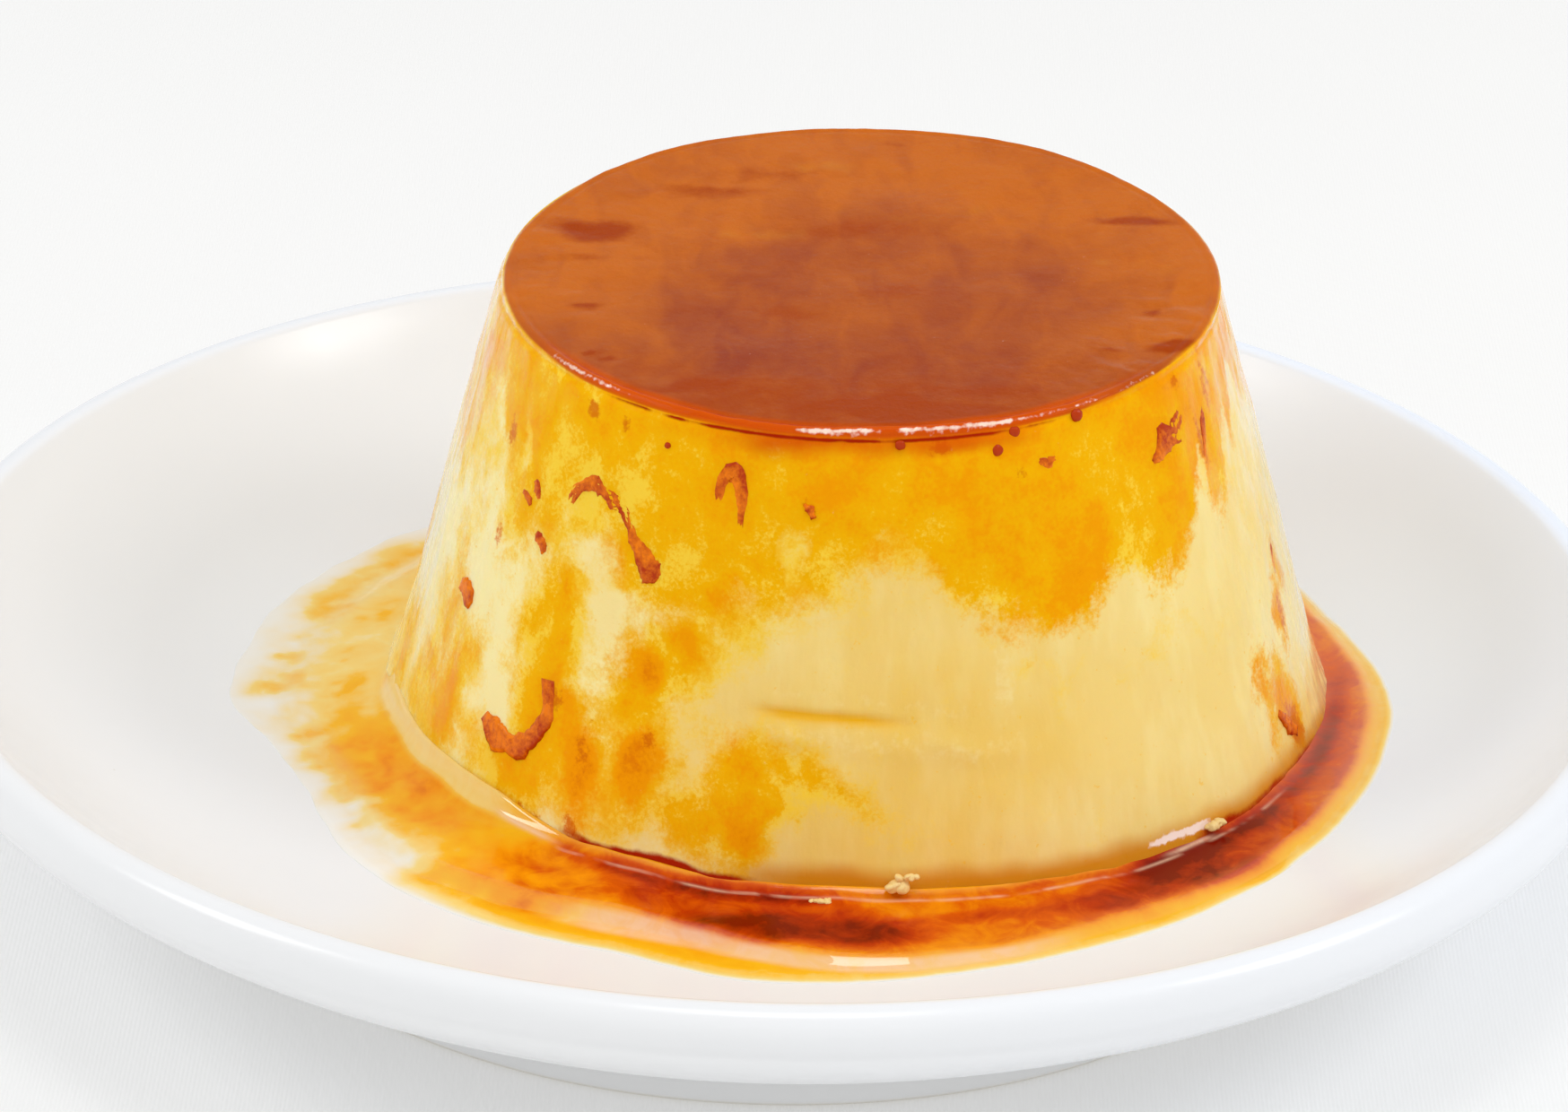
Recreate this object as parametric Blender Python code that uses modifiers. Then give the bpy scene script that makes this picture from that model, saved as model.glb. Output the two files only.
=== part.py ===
"""A creme caramel flan turned out on its plate, standing in a pool of caramel.

Metres, +Z up. The origin is the middle of the plate's foot, on the table. Front is -Y.
"""

import math

import bmesh
import bpy
from mathutils import Matrix, Vector

MM = 0.001
GAP = 0.3 * MM  # what touching pieces keep between them
MERGE = 0.00005

# The plate: a coupe whose floor curves up into the rim in one sweep, on a foot ring.
PLATE_STEPS = 72
WELL_HEIGHT = 7.3 * MM
LIP_RADIUS = 68.7 * MM
LIP_HEIGHT = 21.9 * MM
SWEEP_POWER = 5.5
RIM_RADIUS = 71.8 * MM
RIM_DROP = 2.9 * MM  # how far below the lip the rim is widest
ROW_SPACING = 0.6  # below 1, rows of the floor draw together towards the rim
FLOOR_ROWS = 9
# Handles of the section's curves, each as a distance outwards and a distance upwards.
CREST_INNER = (0.7 * MM, 0.9 * MM)  # over the rim, from the lip
CREST_OUTER = (0.1 * MM, 0.6 * MM)  # over the rim, from the rim's radius and the lip's height
CREST_ROWS = 4
UNDER_RIM = (-0.9 * MM, -3.4 * MM)  # down the outside, from the rim
UNDER_FOOT = (8.0 * MM, 3.4 * MM)  # down the outside, from the top of the foot ring
UNDER_ROWS = 5
FOOT_RADIUS = 46.4 * MM
FOOT_WIDTH = 3.2 * MM
FOOT_HEIGHT = 3.1 * MM
FOOT_EDGE = 0.5 * MM
FOOT_BLEND = (0.5 * MM, 0.3 * MM)  # where the outside meets the foot ring, out and up from it
EDGE_ROWS = 3

# The flan: a cone from a plain mould, leaning a little because its far edge rides up the plate.
FLAN_STEPS = 64
FLAN_PLACE = Vector((7.3 * MM, 11.5 * MM, 9.1 * MM))
FLAN_HEIGHT = 38.7 * MM
FLAN_BASE_RADIUS = 40.0 * MM
FLAN_TOP_RADIUS = 29.8 * MM
FLAN_LEAN_FORWARD = 0.041
FLAN_LEAN_LEFT = 0.022
FLAN_EDGE = 1.1 * MM  # rounding of the top edge
EDGE_INSET = 0.8  # share of the rounding that lies inside the top's radius
FLAN_EDGE_ROWS = 5
FLAN_DISH = 0.35 * MM  # how far the middle of the top lies below its edge
DISH_POWER = 4  # how late the top turns up towards its edge
DISH_SHARES = (0.0, 0.4, 0.7, 0.9)  # rows of the top, as shares of its radius
WALL_LEVELS = (0.75, 0.5, 0.25, 0.1)  # rows of the wall, as shares of the height
FOOT_FLARE = 0.8 * MM
FLARE_START = (0.2 * MM, 1.5 * MM)  # where the foot begins to spread: out from the wall, and up
BURIED = 5.0 * MM  # the flan's blank runs on below its base, where the plate trims it

# The caramel: a film that lies level round the flan and follows the plate where that rises.
SAUCE_LEVEL = 9.1 * MM
FILM_DEPTH = 0.9 * MM
FILM_BLEND = 0.2 * MM  # how softly the level part turns into the rising part
FILM_ROWS = 14
SAUCE_LIMIT = 60.0 * MM
OUTLINE_STEPS = 4  # straight pieces between two points of the outline
# How far the pool reaches beyond the flan's foot, by the angle round the flan in degrees from +X.
SAUCE_REACH = (
    (-172, 13.4 * MM),
    (-158, 10.2 * MM),
    (-138, 13.4 * MM),
    (-120, 13.5 * MM),
    (-101, 13.1 * MM),
    (-90, 12.3 * MM),
    (-78, 11.2 * MM),
    (-54, 8.8 * MM),
    (-36, 7.7 * MM),
    (-10, 5.8 * MM),
    (15, 2.8 * MM),
    (45, 1.8 * MM),
    (85, 2.2 * MM),
    (125, 4.0 * MM),
    (147, 7.0 * MM),
    (164, 10.4 * MM),
)

# Colour and roughness of each piece, and the angle above which an edge stays sharp, in degrees.
PORCELAIN = ((0.86, 0.86, 0.84), 0.12)
CUSTARD = ((0.86, 0.56, 0.12), 0.3)
CARAMEL = ((0.36, 0.06, 0.01), 0.06)
SHARP_ANGLE = 40.0


def clear_scene():
    """Remove every object of the open scene."""
    for item in list(bpy.data.objects):
        bpy.data.objects.remove(item, do_unlink=True)


def new_collection(name):
    collection = bpy.data.collections.new(name)
    bpy.context.scene.collection.children.link(collection)
    return collection


def new_material(name, colour, roughness):
    material = bpy.data.materials.new(name)
    material.use_nodes = True
    shader = material.node_tree.nodes["Principled BSDF"]
    shader.inputs["Base Color"].default_value = (*colour, 1.0)
    shader.inputs["Roughness"].default_value = roughness
    material.diffuse_color = (*colour, 1.0)
    return material


def arc(centre_x, centre_z, radius, start, end, count):
    """Points along an arc, with both ends. Angles are in degrees from +X."""
    points = []
    for i in range(count):
        angle = math.radians(start + (end - start) * i / (count - 1))
        points.append((centre_x + radius * math.cos(angle), centre_z + radius * math.sin(angle)))
    return points


def bezier(start, first, second, end, count):
    """Points along a cubic curve between two ends, without the ends."""
    points = []
    for i in range(1, count + 1):
        t = i / (count + 1)
        s = 1.0 - t
        weights = (s * s * s, 3.0 * s * s * t, 3.0 * s * t * t, t * t * t)
        corners = (start, first, second, end)
        points.append(tuple(sum(w * c[k] for w, c in zip(weights, corners)) for k in (0, 1)))
    return points


def turned(name, profile, steps, collection):
    """A solid of revolution about Z, from a profile that starts and ends on the axis."""
    mesh = bpy.data.meshes.new(name)
    shape = bmesh.new()
    verts = [shape.verts.new((x, 0.0, z)) for x, z in profile]
    for first, second in zip(verts, verts[1:]):
        shape.edges.new((first, second))
    shape.to_mesh(mesh)
    shape.free()
    item = bpy.data.objects.new(name, mesh)
    collection.objects.link(item)
    screw = item.modifiers.new("turn", "SCREW")
    screw.axis = "Z"
    screw.steps = steps
    screw.render_steps = steps
    screw.use_merge_vertices = True
    screw.merge_threshold = MERGE
    return item


def made_mesh(item):
    """Replace an object by a plain mesh of its evaluated shape, with coincident points welded."""
    name = item.name
    collection = item.users_collection[0]
    bpy.context.view_layer.update()
    graph = bpy.context.evaluated_depsgraph_get()
    mesh = bpy.data.meshes.new_from_object(item.evaluated_get(graph))
    place = item.matrix_world.copy()
    bpy.data.objects.remove(item, do_unlink=True)
    shape = bmesh.new()
    shape.from_mesh(mesh)
    bmesh.ops.remove_doubles(shape, verts=shape.verts[:], dist=MERGE)
    shape.to_mesh(mesh)
    shape.free()
    made = bpy.data.objects.new(name, mesh)
    made.matrix_world = place
    collection.objects.link(made)
    made.name = name
    return made


def as_cutter(item):
    """Mark an object as one that only cuts others."""
    item.hide_render = True
    item.display_type = "WIRE"
    return item


def cut(item, cutter, operation="DIFFERENCE"):
    boolean = item.modifiers.new(cutter.name, "BOOLEAN")
    boolean.operation = operation
    boolean.solver = "EXACT"
    boolean.object = cutter
    return boolean


def finish(item, material):
    """Give a piece its material and smooth shading."""
    item.data.materials.clear()
    item.data.materials.append(material)
    item.data.shade_smooth()
    item.data.set_sharp_from_angle(angle=math.radians(SHARP_ANGLE))
    return item


def plate_height(radius):
    """Height of the plate's upper surface at a distance from the plate's axis."""
    return WELL_HEIGHT + (LIP_HEIGHT - WELL_HEIGHT) * (radius / LIP_RADIUS) ** SWEEP_POWER


def sweep_radii(limit, count):
    """Radii from the axis to a limit, closer together where the plate curves more."""
    return [limit * (i / count) ** ROW_SPACING for i in range(count + 1)]


def plate_profile():
    """The plate's section: over the well and the rim, down the outside, and in under the foot."""
    profile = [(radius, plate_height(radius)) for radius in sweep_radii(LIP_RADIUS, FLOOR_ROWS)]
    rim_height = LIP_HEIGHT - RIM_DROP
    profile += bezier(
        profile[-1],
        (LIP_RADIUS + CREST_INNER[0], LIP_HEIGHT + CREST_INNER[1]),
        (RIM_RADIUS + CREST_OUTER[0], LIP_HEIGHT + CREST_OUTER[1]),
        (RIM_RADIUS, rim_height),
        CREST_ROWS,
    )
    foot_top = (FOOT_RADIUS + FOOT_BLEND[0], FOOT_HEIGHT + FOOT_BLEND[1])
    profile.append((RIM_RADIUS, rim_height))
    profile += bezier(
        (RIM_RADIUS, rim_height),
        (RIM_RADIUS + UNDER_RIM[0], rim_height + UNDER_RIM[1]),
        (foot_top[0] + UNDER_FOOT[0], foot_top[1] + UNDER_FOOT[1]),
        foot_top,
        UNDER_ROWS,
    )
    profile.append(foot_top)
    foot_inner = FOOT_RADIUS - FOOT_WIDTH
    profile += arc(FOOT_RADIUS - FOOT_EDGE, FOOT_EDGE, FOOT_EDGE, 0, -90, EDGE_ROWS)
    profile += arc(foot_inner + FOOT_EDGE, FOOT_EDGE, FOOT_EDGE, -90, -180, EDGE_ROWS)
    profile.append((foot_inner, FOOT_HEIGHT - FOOT_EDGE))
    profile.append((foot_inner - FOOT_EDGE, FOOT_HEIGHT))
    profile.append((0.0, FOOT_HEIGHT))
    return profile


def flan_profile(clearance=0.0):
    """The flan's section, grown outwards by a clearance: along the top, over its edge, down the side."""
    top = FLAN_HEIGHT + clearance
    slope = (FLAN_BASE_RADIUS - FLAN_TOP_RADIUS) / FLAN_HEIGHT
    slope_angle = math.degrees(math.atan(slope))
    shoulder = FLAN_TOP_RADIUS + clearance - FLAN_EDGE * EDGE_INSET
    profile = [(shoulder * share, top - FLAN_DISH * (1.0 - share**DISH_POWER)) for share in DISH_SHARES]
    profile += arc(shoulder, top - FLAN_EDGE, FLAN_EDGE, 90, slope_angle, FLAN_EDGE_ROWS)
    start = profile[-1]
    for level in WALL_LEVELS:
        height = FLAN_HEIGHT * level
        profile.append((start[0] + (start[1] - height) * slope, height))
    foot = FLAN_BASE_RADIUS + clearance
    profile.append((foot + FLARE_START[0], FLARE_START[1]))
    profile.append((foot + FOOT_FLARE, 0.0))
    profile.append((foot + FOOT_FLARE, -BURIED))
    profile.append((0.0, -BURIED))
    return profile


def lean(item):
    """Put a piece turned about the flan's own axis where the flan stands."""
    item.location = FLAN_PLACE
    item.rotation_euler = (FLAN_LEAN_FORWARD, -FLAN_LEAN_LEFT, 0.0)
    return item


def film_top(radius):
    """Height of the caramel's surface: level, and rising with the plate further out."""
    raised = plate_height(radius) + FILM_DEPTH
    return 0.5 * (SAUCE_LEVEL + raised + math.hypot(raised - SAUCE_LEVEL, FILM_BLEND))


def film_profile():
    radii = sweep_radii(SAUCE_LIMIT, FILM_ROWS)
    profile = [(radius, film_top(radius)) for radius in radii]
    profile += [(radius, plate_height(radius) + GAP) for radius in reversed(radii)]
    return profile


def under_film_profile():
    """What lies below the plate's upper surface and its gap, for trimming the flan's foot."""
    profile = [(radius, plate_height(radius) + GAP) for radius in sweep_radii(SAUCE_LIMIT, FLOOR_ROWS)]
    profile.append((SAUCE_LIMIT, -BURIED))
    profile.append((0.0, -BURIED))
    return profile


def sauce_outline(collection):
    """An upright block with the outline of the pool."""
    curve = bpy.data.curves.new("sauce_outline", "CURVE")
    curve.dimensions = "2D"
    curve.fill_mode = "BOTH"
    curve.extrude = LIP_HEIGHT
    curve.resolution_u = OUTLINE_STEPS
    spline = curve.splines.new("BEZIER")
    spline.bezier_points.add(len(SAUCE_REACH) - 1)
    spline.use_cyclic_u = True
    for point, (angle, reach) in zip(spline.bezier_points, SAUCE_REACH):
        radius = FLAN_BASE_RADIUS + reach
        turn = math.radians(angle)
        x = FLAN_PLACE.x + radius * math.cos(turn)
        y = FLAN_PLACE.y + radius * math.sin(turn)
        point.co = (x, y, 0.0)
        point.handle_left_type = "AUTO"
        point.handle_right_type = "AUTO"
    item = bpy.data.objects.new("sauce_outline", curve)
    collection.objects.link(item)
    return made_mesh(item)


def make_plate(parts):
    plate = turned("plate", plate_profile(), PLATE_STEPS, parts)
    return finish(plate, new_material("white_porcelain", *PORCELAIN))


def make_custard(parts, cutters):
    custard = made_mesh(lean(turned("custard", flan_profile(), FLAN_STEPS, parts)))
    under = as_cutter(turned("plate_top", under_film_profile(), PLATE_STEPS, cutters))
    cut(custard, under)
    return finish(custard, new_material("baked_custard", *CUSTARD))


def make_caramel(parts, cutters):
    caramel = made_mesh(turned("caramel_sauce", film_profile(), PLATE_STEPS, parts))
    outline = as_cutter(sauce_outline(cutters))
    foot = as_cutter(lean(turned("flan_hole", flan_profile(GAP), FLAN_STEPS, cutters)))
    cut(caramel, outline, "INTERSECT")
    cut(caramel, foot)
    return finish(caramel, new_material("caramel", *CARAMEL))


def main():
    clear_scene()
    parts = new_collection("creme_caramel")
    cutters = new_collection("cutters")
    make_plate(parts)
    make_custard(parts, cutters)
    make_caramel(parts, cutters)


main()
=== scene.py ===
"""Looks for the creme caramel: plate, custard, caramel pool, caramel skin, drops, crumbs and stage.

Lengths are metres. MM turns a length written in millimetres into metres. The flan's own frame has its
origin in the middle of its foot and +Z along its leaning axis; angles round it run from +X in degrees,
so its front is at -90. Its wall is stained most widely at STAINED_SIDE, and the pool is a thin film at
THIN_SIDE.
"""

import math

import bmesh
import bpy
import numpy as np
from bpy.props import FloatProperty, FloatVectorProperty, PointerProperty
from mathutils import Euler, Matrix, Vector


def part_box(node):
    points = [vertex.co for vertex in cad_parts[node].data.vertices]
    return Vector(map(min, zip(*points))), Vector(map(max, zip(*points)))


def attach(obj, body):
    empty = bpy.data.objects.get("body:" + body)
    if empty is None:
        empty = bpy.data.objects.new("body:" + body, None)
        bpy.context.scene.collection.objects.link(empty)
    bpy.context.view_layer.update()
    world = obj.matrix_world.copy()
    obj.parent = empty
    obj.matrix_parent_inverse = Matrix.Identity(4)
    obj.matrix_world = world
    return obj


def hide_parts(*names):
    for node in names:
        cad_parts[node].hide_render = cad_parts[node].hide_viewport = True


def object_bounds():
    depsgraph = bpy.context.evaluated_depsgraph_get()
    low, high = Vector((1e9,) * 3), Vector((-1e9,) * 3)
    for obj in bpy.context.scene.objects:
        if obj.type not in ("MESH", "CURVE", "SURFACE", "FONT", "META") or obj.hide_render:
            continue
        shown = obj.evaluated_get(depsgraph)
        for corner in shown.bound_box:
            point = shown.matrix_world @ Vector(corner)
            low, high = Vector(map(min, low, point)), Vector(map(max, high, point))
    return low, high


bl_info = {
    "name": "Creme Caramel",
    "version": (1, 0, 0),
    "blender": (4, 5, 0),
    "location": "View3D > Sidebar > Flan",
    "description": "Builds a creme caramel flan on its plate, with its caramel and a plain studio",
    "category": "Add Mesh",
}

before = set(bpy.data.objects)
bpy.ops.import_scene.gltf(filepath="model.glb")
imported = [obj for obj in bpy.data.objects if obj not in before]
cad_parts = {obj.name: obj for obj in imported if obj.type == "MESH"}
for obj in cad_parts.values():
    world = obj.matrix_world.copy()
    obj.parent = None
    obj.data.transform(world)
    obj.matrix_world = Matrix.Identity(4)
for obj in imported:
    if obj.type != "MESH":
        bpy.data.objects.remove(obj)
CAD_LOW, CAD_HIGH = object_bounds()
PLATE_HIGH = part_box("plate")[1]

MM = 0.001
FRONT = -90.0
STAINED_SIDE = -148.0
THIN_SIDE = 172.0

# How finely each piece is made: steps round it and rows out over it. A shred of skin has its rows to each
# stretch of its course, and its columns across it.
PLATE_STEPS = 256
FLAN_STEPS = 490
POOL_STEPS = 480
POOL_ROWS = 64
SHRED_ROWS = 7
SHRED_COLUMNS = 9

# The wall's radius half way up in mm, which turns angles into lengths for the marks on it.
WALL_RADIUS = 35.0

# The point that the camera looks at, in metres.
LOOK_AT = (0.00078, 0.0544, 0.0)

# The marks on the flan and the outline of its pool. Angles are in degrees, and heights and all other
# lengths in mm.

# Lower edge of the amber band round the wall: angle, height.
AMBER_EDGE = (
    (-176, 25.0), (-166, 27.0), (-154, 29.5), (-141, 25.5), (-135, 28.0), (-127, 27.5), (-123, 24.5),
    (-116, 22.5), (-109, 22.6), (-102, 24.7), (-97, 26.4), (-91, 28.4), (-85, 29.6), (-80, 28.4),
    (-77, 25.6), (-72, 23.3), (-61, 21.4), (-55, 22.2), (-51, 24.6), (-46, 23.4), (-41, 23.0),
    (-36, 24.6), (-32, 27.5), (-26, 24.5), (-19, 28.0), (-8, 30.0), (8, 25.0), (24, 28.5), (41, 22.5),
    (58, 26.0), (74, 29.0), (92, 23.5), (111, 26.5), (130, 21.5), (146, 25.5), (162, 29.0),
)

# Patches of amber below the band: angle, height, half width, half height, turn in degrees.
AMBER_PATCHES = (
    (-135, 16.5, 3.0, 6.2, 0), (-134, 21.3, 1.2, 1.8, 0), (-119, 16.6, 2.6, 3.6, -12),
    (-114, 19.4, 2.0, 3.4, -38), (-133, 9.8, 4.0, 4.6, 0), (-153, 6.4, 1.7, 5.4, -8),
    (-158, 11.0, 0.7, 3.4, 0), (-161, 8.6, 0.8, 2.6, 0), (-126, 8.0, 1.6, 4.6, 0),
    (-118, 9.8, 2.2, 4.2, -14),
    (-104, 8.4, 3.0, 4.4, 0), (-98.5, 11.4, 3.8, 1.1, -24), (-110, 6.4, 2.2, 2.2, 0),
    (-136, 5.4, 4.2, 1.8, 0),
    (-21, 5.4, 2.0, 4.2, 10), (-26, 7.6, 1.0, 3.4, 6), (-13, 16.5, 0.9, 2.6, 0), (-17, 12.1, 0.9, 2.2, 0),
    (-146, 27.5, 2.0, 4.6, 0), (4, 9.0, 1.4, 5.0, 0), (27, 17.0, 1.8, 7.0, 4), (33, 8.0, 1.1, 3.0, 0),
    (50, 3.0, 5.2, 2.6, 0), (78, 16.0, 1.2, 6.0, 8), (104, 4.0, 6.0, 2.4, 0), (112, 9.0, 1.4, 3.6, -10),
    (131, 17.0, 1.6, 6.4, -6), (155, 4.0, 4.6, 3.2, 0), (176, 14.0, 1.2, 5.2, 0), (-172, 5.0, 2.0, 3.2, 0),
)

# Pale places that reach up into the amber band, in the same form.
PALE_WINDOWS = (
    (-141, 31.0, 1.1, 4.0, 0), (-149, 32.0, 0.9, 5.0, 0), (-161, 30.0, 3.0, 7.0, 0),
    (-99, 29.0, 1.2, 2.6, 0),
    (-156, 24.5, 2.4, 5.0, 0), (-30, 29.0, 0.8, 3.4, 0), (-21, 31.0, 1.4, 6.0, 0), (-14, 30.0, 2.0, 5.0, 0),
)

# Places where the caramel has soaked in deepest, in the same form.
DEEP_PATCHES = (
    (-126, 8.0, 1.5, 4.4, 0), (-126, 2.8, 1.4, 1.6, 0), (-118, 10.0, 2.0, 4.0, -14),
    (-22, 4.6, 1.6, 3.6, 10), (-31, 31.0, 2.4, 5.0, 0),
    (-128, 25.0, 3.0, 2.2, 0), (-107, 24.4, 2.2, 1.6, 0), (-119, 17.5, 1.4, 2.0, 0),
    (-104, 7.0, 2.4, 2.4, 0),
)

# The broad place, a little right of the front, where the amber band is deeper, in the same form.
AMBER_BAY = (-63, 27.0, 8.5, 8.0, 0)

# The rib of bare custard below it, in the same form.
BARE_PILLAR = (-70.5, 18.0, 1.5, 4.6, 0)

# Small rust-brown stains on the wall: angle, height, half width, half height, turn.
RUST_MARKS = (
    (-97, 32.1, 0.25, 0.7, 30), (-135, 36.3, 0.8, 0.9, 0), (-153, 30.4, 0.6, 1.2, 0),
    (-65, 34.2, 0.5, 0.4, 0),
    (-29, 31.0, 0.5, 3.0, 8), (-25, 34.2, 0.4, 1.8, 0), (-78, 37.0, 1.2, 0.6, 0), (-126, 9.5, 0.4, 1.8, 2),
    (-117, 12.0, 0.6, 0.8, -20), (-20, 3.0, 1.3, 2.6, 14), (-128, 36.0, 0.5, 0.5, 0),
    (-150, 22.5, 0.4, 1.2, 0), (-24, 36.0, 0.5, 1.6, 8), (-33, 36.5, 0.7, 0.6, 0),
    (-132, 12.4, 0.6, 0.8, 0),
    (-134, 3.2, 0.45, 0.4, 0), (-131.6, 2.5, 0.4, 0.35, 0), (-126.5, 2.9, 0.8, 0.9, 0),
    (20, 33.0, 0.8, 2.0, 0), (47, 30.5, 0.7, 1.4, 20), (88, 34.0, 1.0, 0.8, 0), (121, 31.0, 0.7, 2.1, -10),
    (149, 34.0, 0.6, 1.2, 0), (70, 20.0, 0.6, 1.6, 0), (140, 15.0, 0.7, 1.4, 0), (-16, 12.0, 0.5, 1.8, 0),
)

# How strongly the rim has stained the wall just under it: angle, share.
RIM_STAIN = (
    (-150, 0.0), (-124, 0.05), (-112, 0.25), (-104, 0.85), (-92, 0.80), (-84, 0.60), (-76, 0.85),
    (-68, 0.55),
    (-60, 0.08), (-40, 0.10), (-20, 0.0), (30, 0.15), (70, 0.5), (110, 0.2), (160, 0.35),
)

# Dark smudges in the cap: x, y, half length, half width in mm, and how dark.
CAP_SMUDGES = (
    (-22.8, 7.8, 3.8, 2.4, 0.50), (-22.1, 2.3, 4.2, 0.8, 0.32), (-13.1, 15.4, 6.0, 1.6, 0.32),
    (-8.6, 19.6, 5.0, 1.2, 0.22), (3.0, 26.0, 2.4, 0.9, 0.65), (23.1, 11.0, 3.6, 1.3, 0.42),
    (23.4, 8.6, 2.2, 0.7, 0.30), (23.7, -6.8, 0.9, 0.7, 0.45), (25.8, -13.2, 2.8, 1.5, 0.70),
    (19.5, -13.9, 3.4, 0.5, 0.35), (-23.3, -6.8, 1.7, 0.7, 0.50), (-20.1, -17.0, 1.1, 0.5, 0.60),
    (-22.6, -15.8, 1.4, 0.4, 0.60), (3.2, -25.4, 7.0, 1.8, 0.62), (-6.7, -7.2, 4.0, 1.4, 0.22),
    (2.9, -3.5, 6.0, 1.6, 0.18), (-1.0, 8.8, 7.0, 1.8, 0.22), (11.0, -21.5, 6.0, 1.2, 0.20),
    (-14.0, -21.5, 5.0, 1.2, 0.30), (14.0, 18.5, 4.0, 1.0, 0.18),
)

# Shreds of caramel skin lying on the wall: the course of each as angle, height and half width in mm.
SKIN_SHREDS = (
    ((-136, 27.8, 0.3), (-134.5, 29.6, 0.6), (-131, 30.7, 0.9), (-127, 30.0, 0.8), (-124, 28.2, 0.6),
     (-122.5, 26.7, 0.8), (-120, 25.4, 1.3), (-118.6, 24.8, 0.4)),
    ((-110.8, 31.4, 0.3), (-110.5, 33.8, 0.5), (-108.5, 34.6, 0.7), (-107, 32.6, 0.5), (-107, 29.4, 0.2)),

    ((-133.5, 13.8, 0.6), (-132.8, 11.0, 0.7), (-134.0, 8.8, 0.6), (-137, 7.2, 1.0),
     (-141, 6.9, 1.7), (-144, 8.2, 0.6)),
    ((-157, 16.2, 0.7), (-155, 15.9, 1.0), (-153, 15.2, 0.5)),
    ((-141.4, 24.5, 0.3), (-140, 23.9, 0.6), (-139, 23.3, 0.3)),
    ((-144.0, 28.4, 0.2), (-143, 27.8, 0.5), (-142.4, 27.1, 0.3)),
    ((-146.4, 26.9, 0.2), (-145, 26.8, 0.4), (-144, 26.2, 0.2)),
    ((-62.6, 35.0, 0.2), (-61, 34.6, 0.6), (-59.4, 34.9, 0.3)),
    ((-41.4, 31.6, 0.3), (-39, 32.4, 1.0), (-36, 33.2, 1.4), (-33, 34.6, 0.4)),
    ((-26.2, 34.8, 0.2), (-27.4, 32.0, 0.5), (-29.4, 29.2, 0.2)),
    ((-13.2, 18.0, 0.2), (-14.0, 16.4, 0.5), (-14.6, 15.0, 0.2)),
    ((-98.0, 32.6, 0.1), (-97.2, 32.2, 0.3), (-96.6, 31.5, 0.2)),
    ((-23.5, 5.6, 0.3), (-21.5, 4.0, 0.8), (-19.5, 2.6, 0.4)),
    ((35, 29.8, 0.3), (39, 31.4, 0.9), (43, 30.4, 0.6), (45.5, 27.8, 0.9)),
    ((96, 27.5, 0.3), (97.5, 30.0, 0.6), (100.5, 30.6, 0.8), (102.5, 28.4, 0.3)),
    ((67, 8.6, 0.4), (70, 11.6, 1.2), (74, 12.0, 0.6)),
    ((136, 33.0, 0.3), (138.5, 31.4, 0.7), (140.0, 28.6, 0.4)),
    ((157, 12.3, 0.3), (161, 14.4, 1.1), (165, 13.6, 0.5)),
)

# Dried drops of caramel under the rim: angle, height, radius in mm.
SKIN_DROPS = (
    (-69, 36.3, 0.52), (-66, 37.5, 0.46), (-55, 37.6, 0.54), (-84, 37.4, 0.44), (-120, 35.4, 0.26),
    (12, 36.0, 0.40), (63, 35.2, 0.34), (111, 36.4, 0.42), (170, 35.8, 0.32),
)

# Crumbs of custard round the foot: angle, distance beyond the foot, lift, radius in mm, how many.
CRUMB_SPOTS = (
    (-85.5, -0.6, 1.2, 0.75, 9), (-84.0, -0.7, 2.0, 0.55, 5), (-94, 0.3, 0.2, 0.42, 8),
    (-42.6, -0.6, 1.0, 0.50, 8), (30, 0.3, 0.2, 0.50, 4),
    (95, 0.4, 0.2, 0.55, 4), (150, 0.5, 0.2, 0.40, 3),
)

# The pool's reach beyond the flan's foot, by angle, in mm: close to the solid's outline.
POOL_REACH = (
    (-172, 13.4), (-158, 10.2), (-138, 13.4), (-124, 13.3), (-118, 12.4), (-112, 11.7), (-107, 12.1),
    (-101, 13.0), (-90, 12.3), (-78, 10.7),
    (-70, 9.7), (-54, 8.8), (-40, 7.9), (-22, 6.8), (-6, 5.8), (15, 2.8), (45, 1.8), (85, 2.2), (125, 4.0),
    (147, 7.0), (164, 10.4),
)

# How far inside its outline the pool's thick part begins, by angle, in mm.
POOL_SHOULDER = (
    (-178, 5.0), (-160, 3.6), (-140, 3.6), (-126, 4.2), (-118, 4.6), (-112, 4.6), (-105, 5.0), (-99, 4.4),
    (-94, 3.2), (-90, 2.4), (-84, 1.8), (-78, 1.8), (-70, 1.9), (-63, 2.2), (-50, 1.8), (-30, 1.6),
    (-8, 1.6),
    (20, 1.0), (60, 0.8), (110, 1.0), (150, 4.0),
)

# Dark places in the pool: x, y, half length, half width in mm, turn in degrees, and how dark.
POOL_DARKS = (
    (3.0, -32.8, 9.0, 2.6, -6, 0.50), (-9.5, -29.0, 6.0, 1.8, -24, 0.26), (37.0, -19.4, 8.5, 3.0, 48, 0.30),
    (46.8, -5.0, 7.5, 1.6, 76, 0.04), (16.5, -31.0, 5.0, 1.0, 12, 0.20),
    (-19.5, -24.0, 3.2, 1.2, -40, 0.34),
    (-21.0, -27.5, 5.0, 2.2, -38, 0.26), (29.0, -26.5, 5.0, 1.6, 30, 0.28),
    (-25.5, -17.0, 2.2, 1.0, -60, 0.24), (-30.5, -6.5, 2.2, 0.8, 80, 0.18),
    (10.0, 52.5, 6.0, 1.0, 0, 0.3), (-24.0, 41.0, 4.0, 1.5, 40, 0.25),
)

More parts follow.
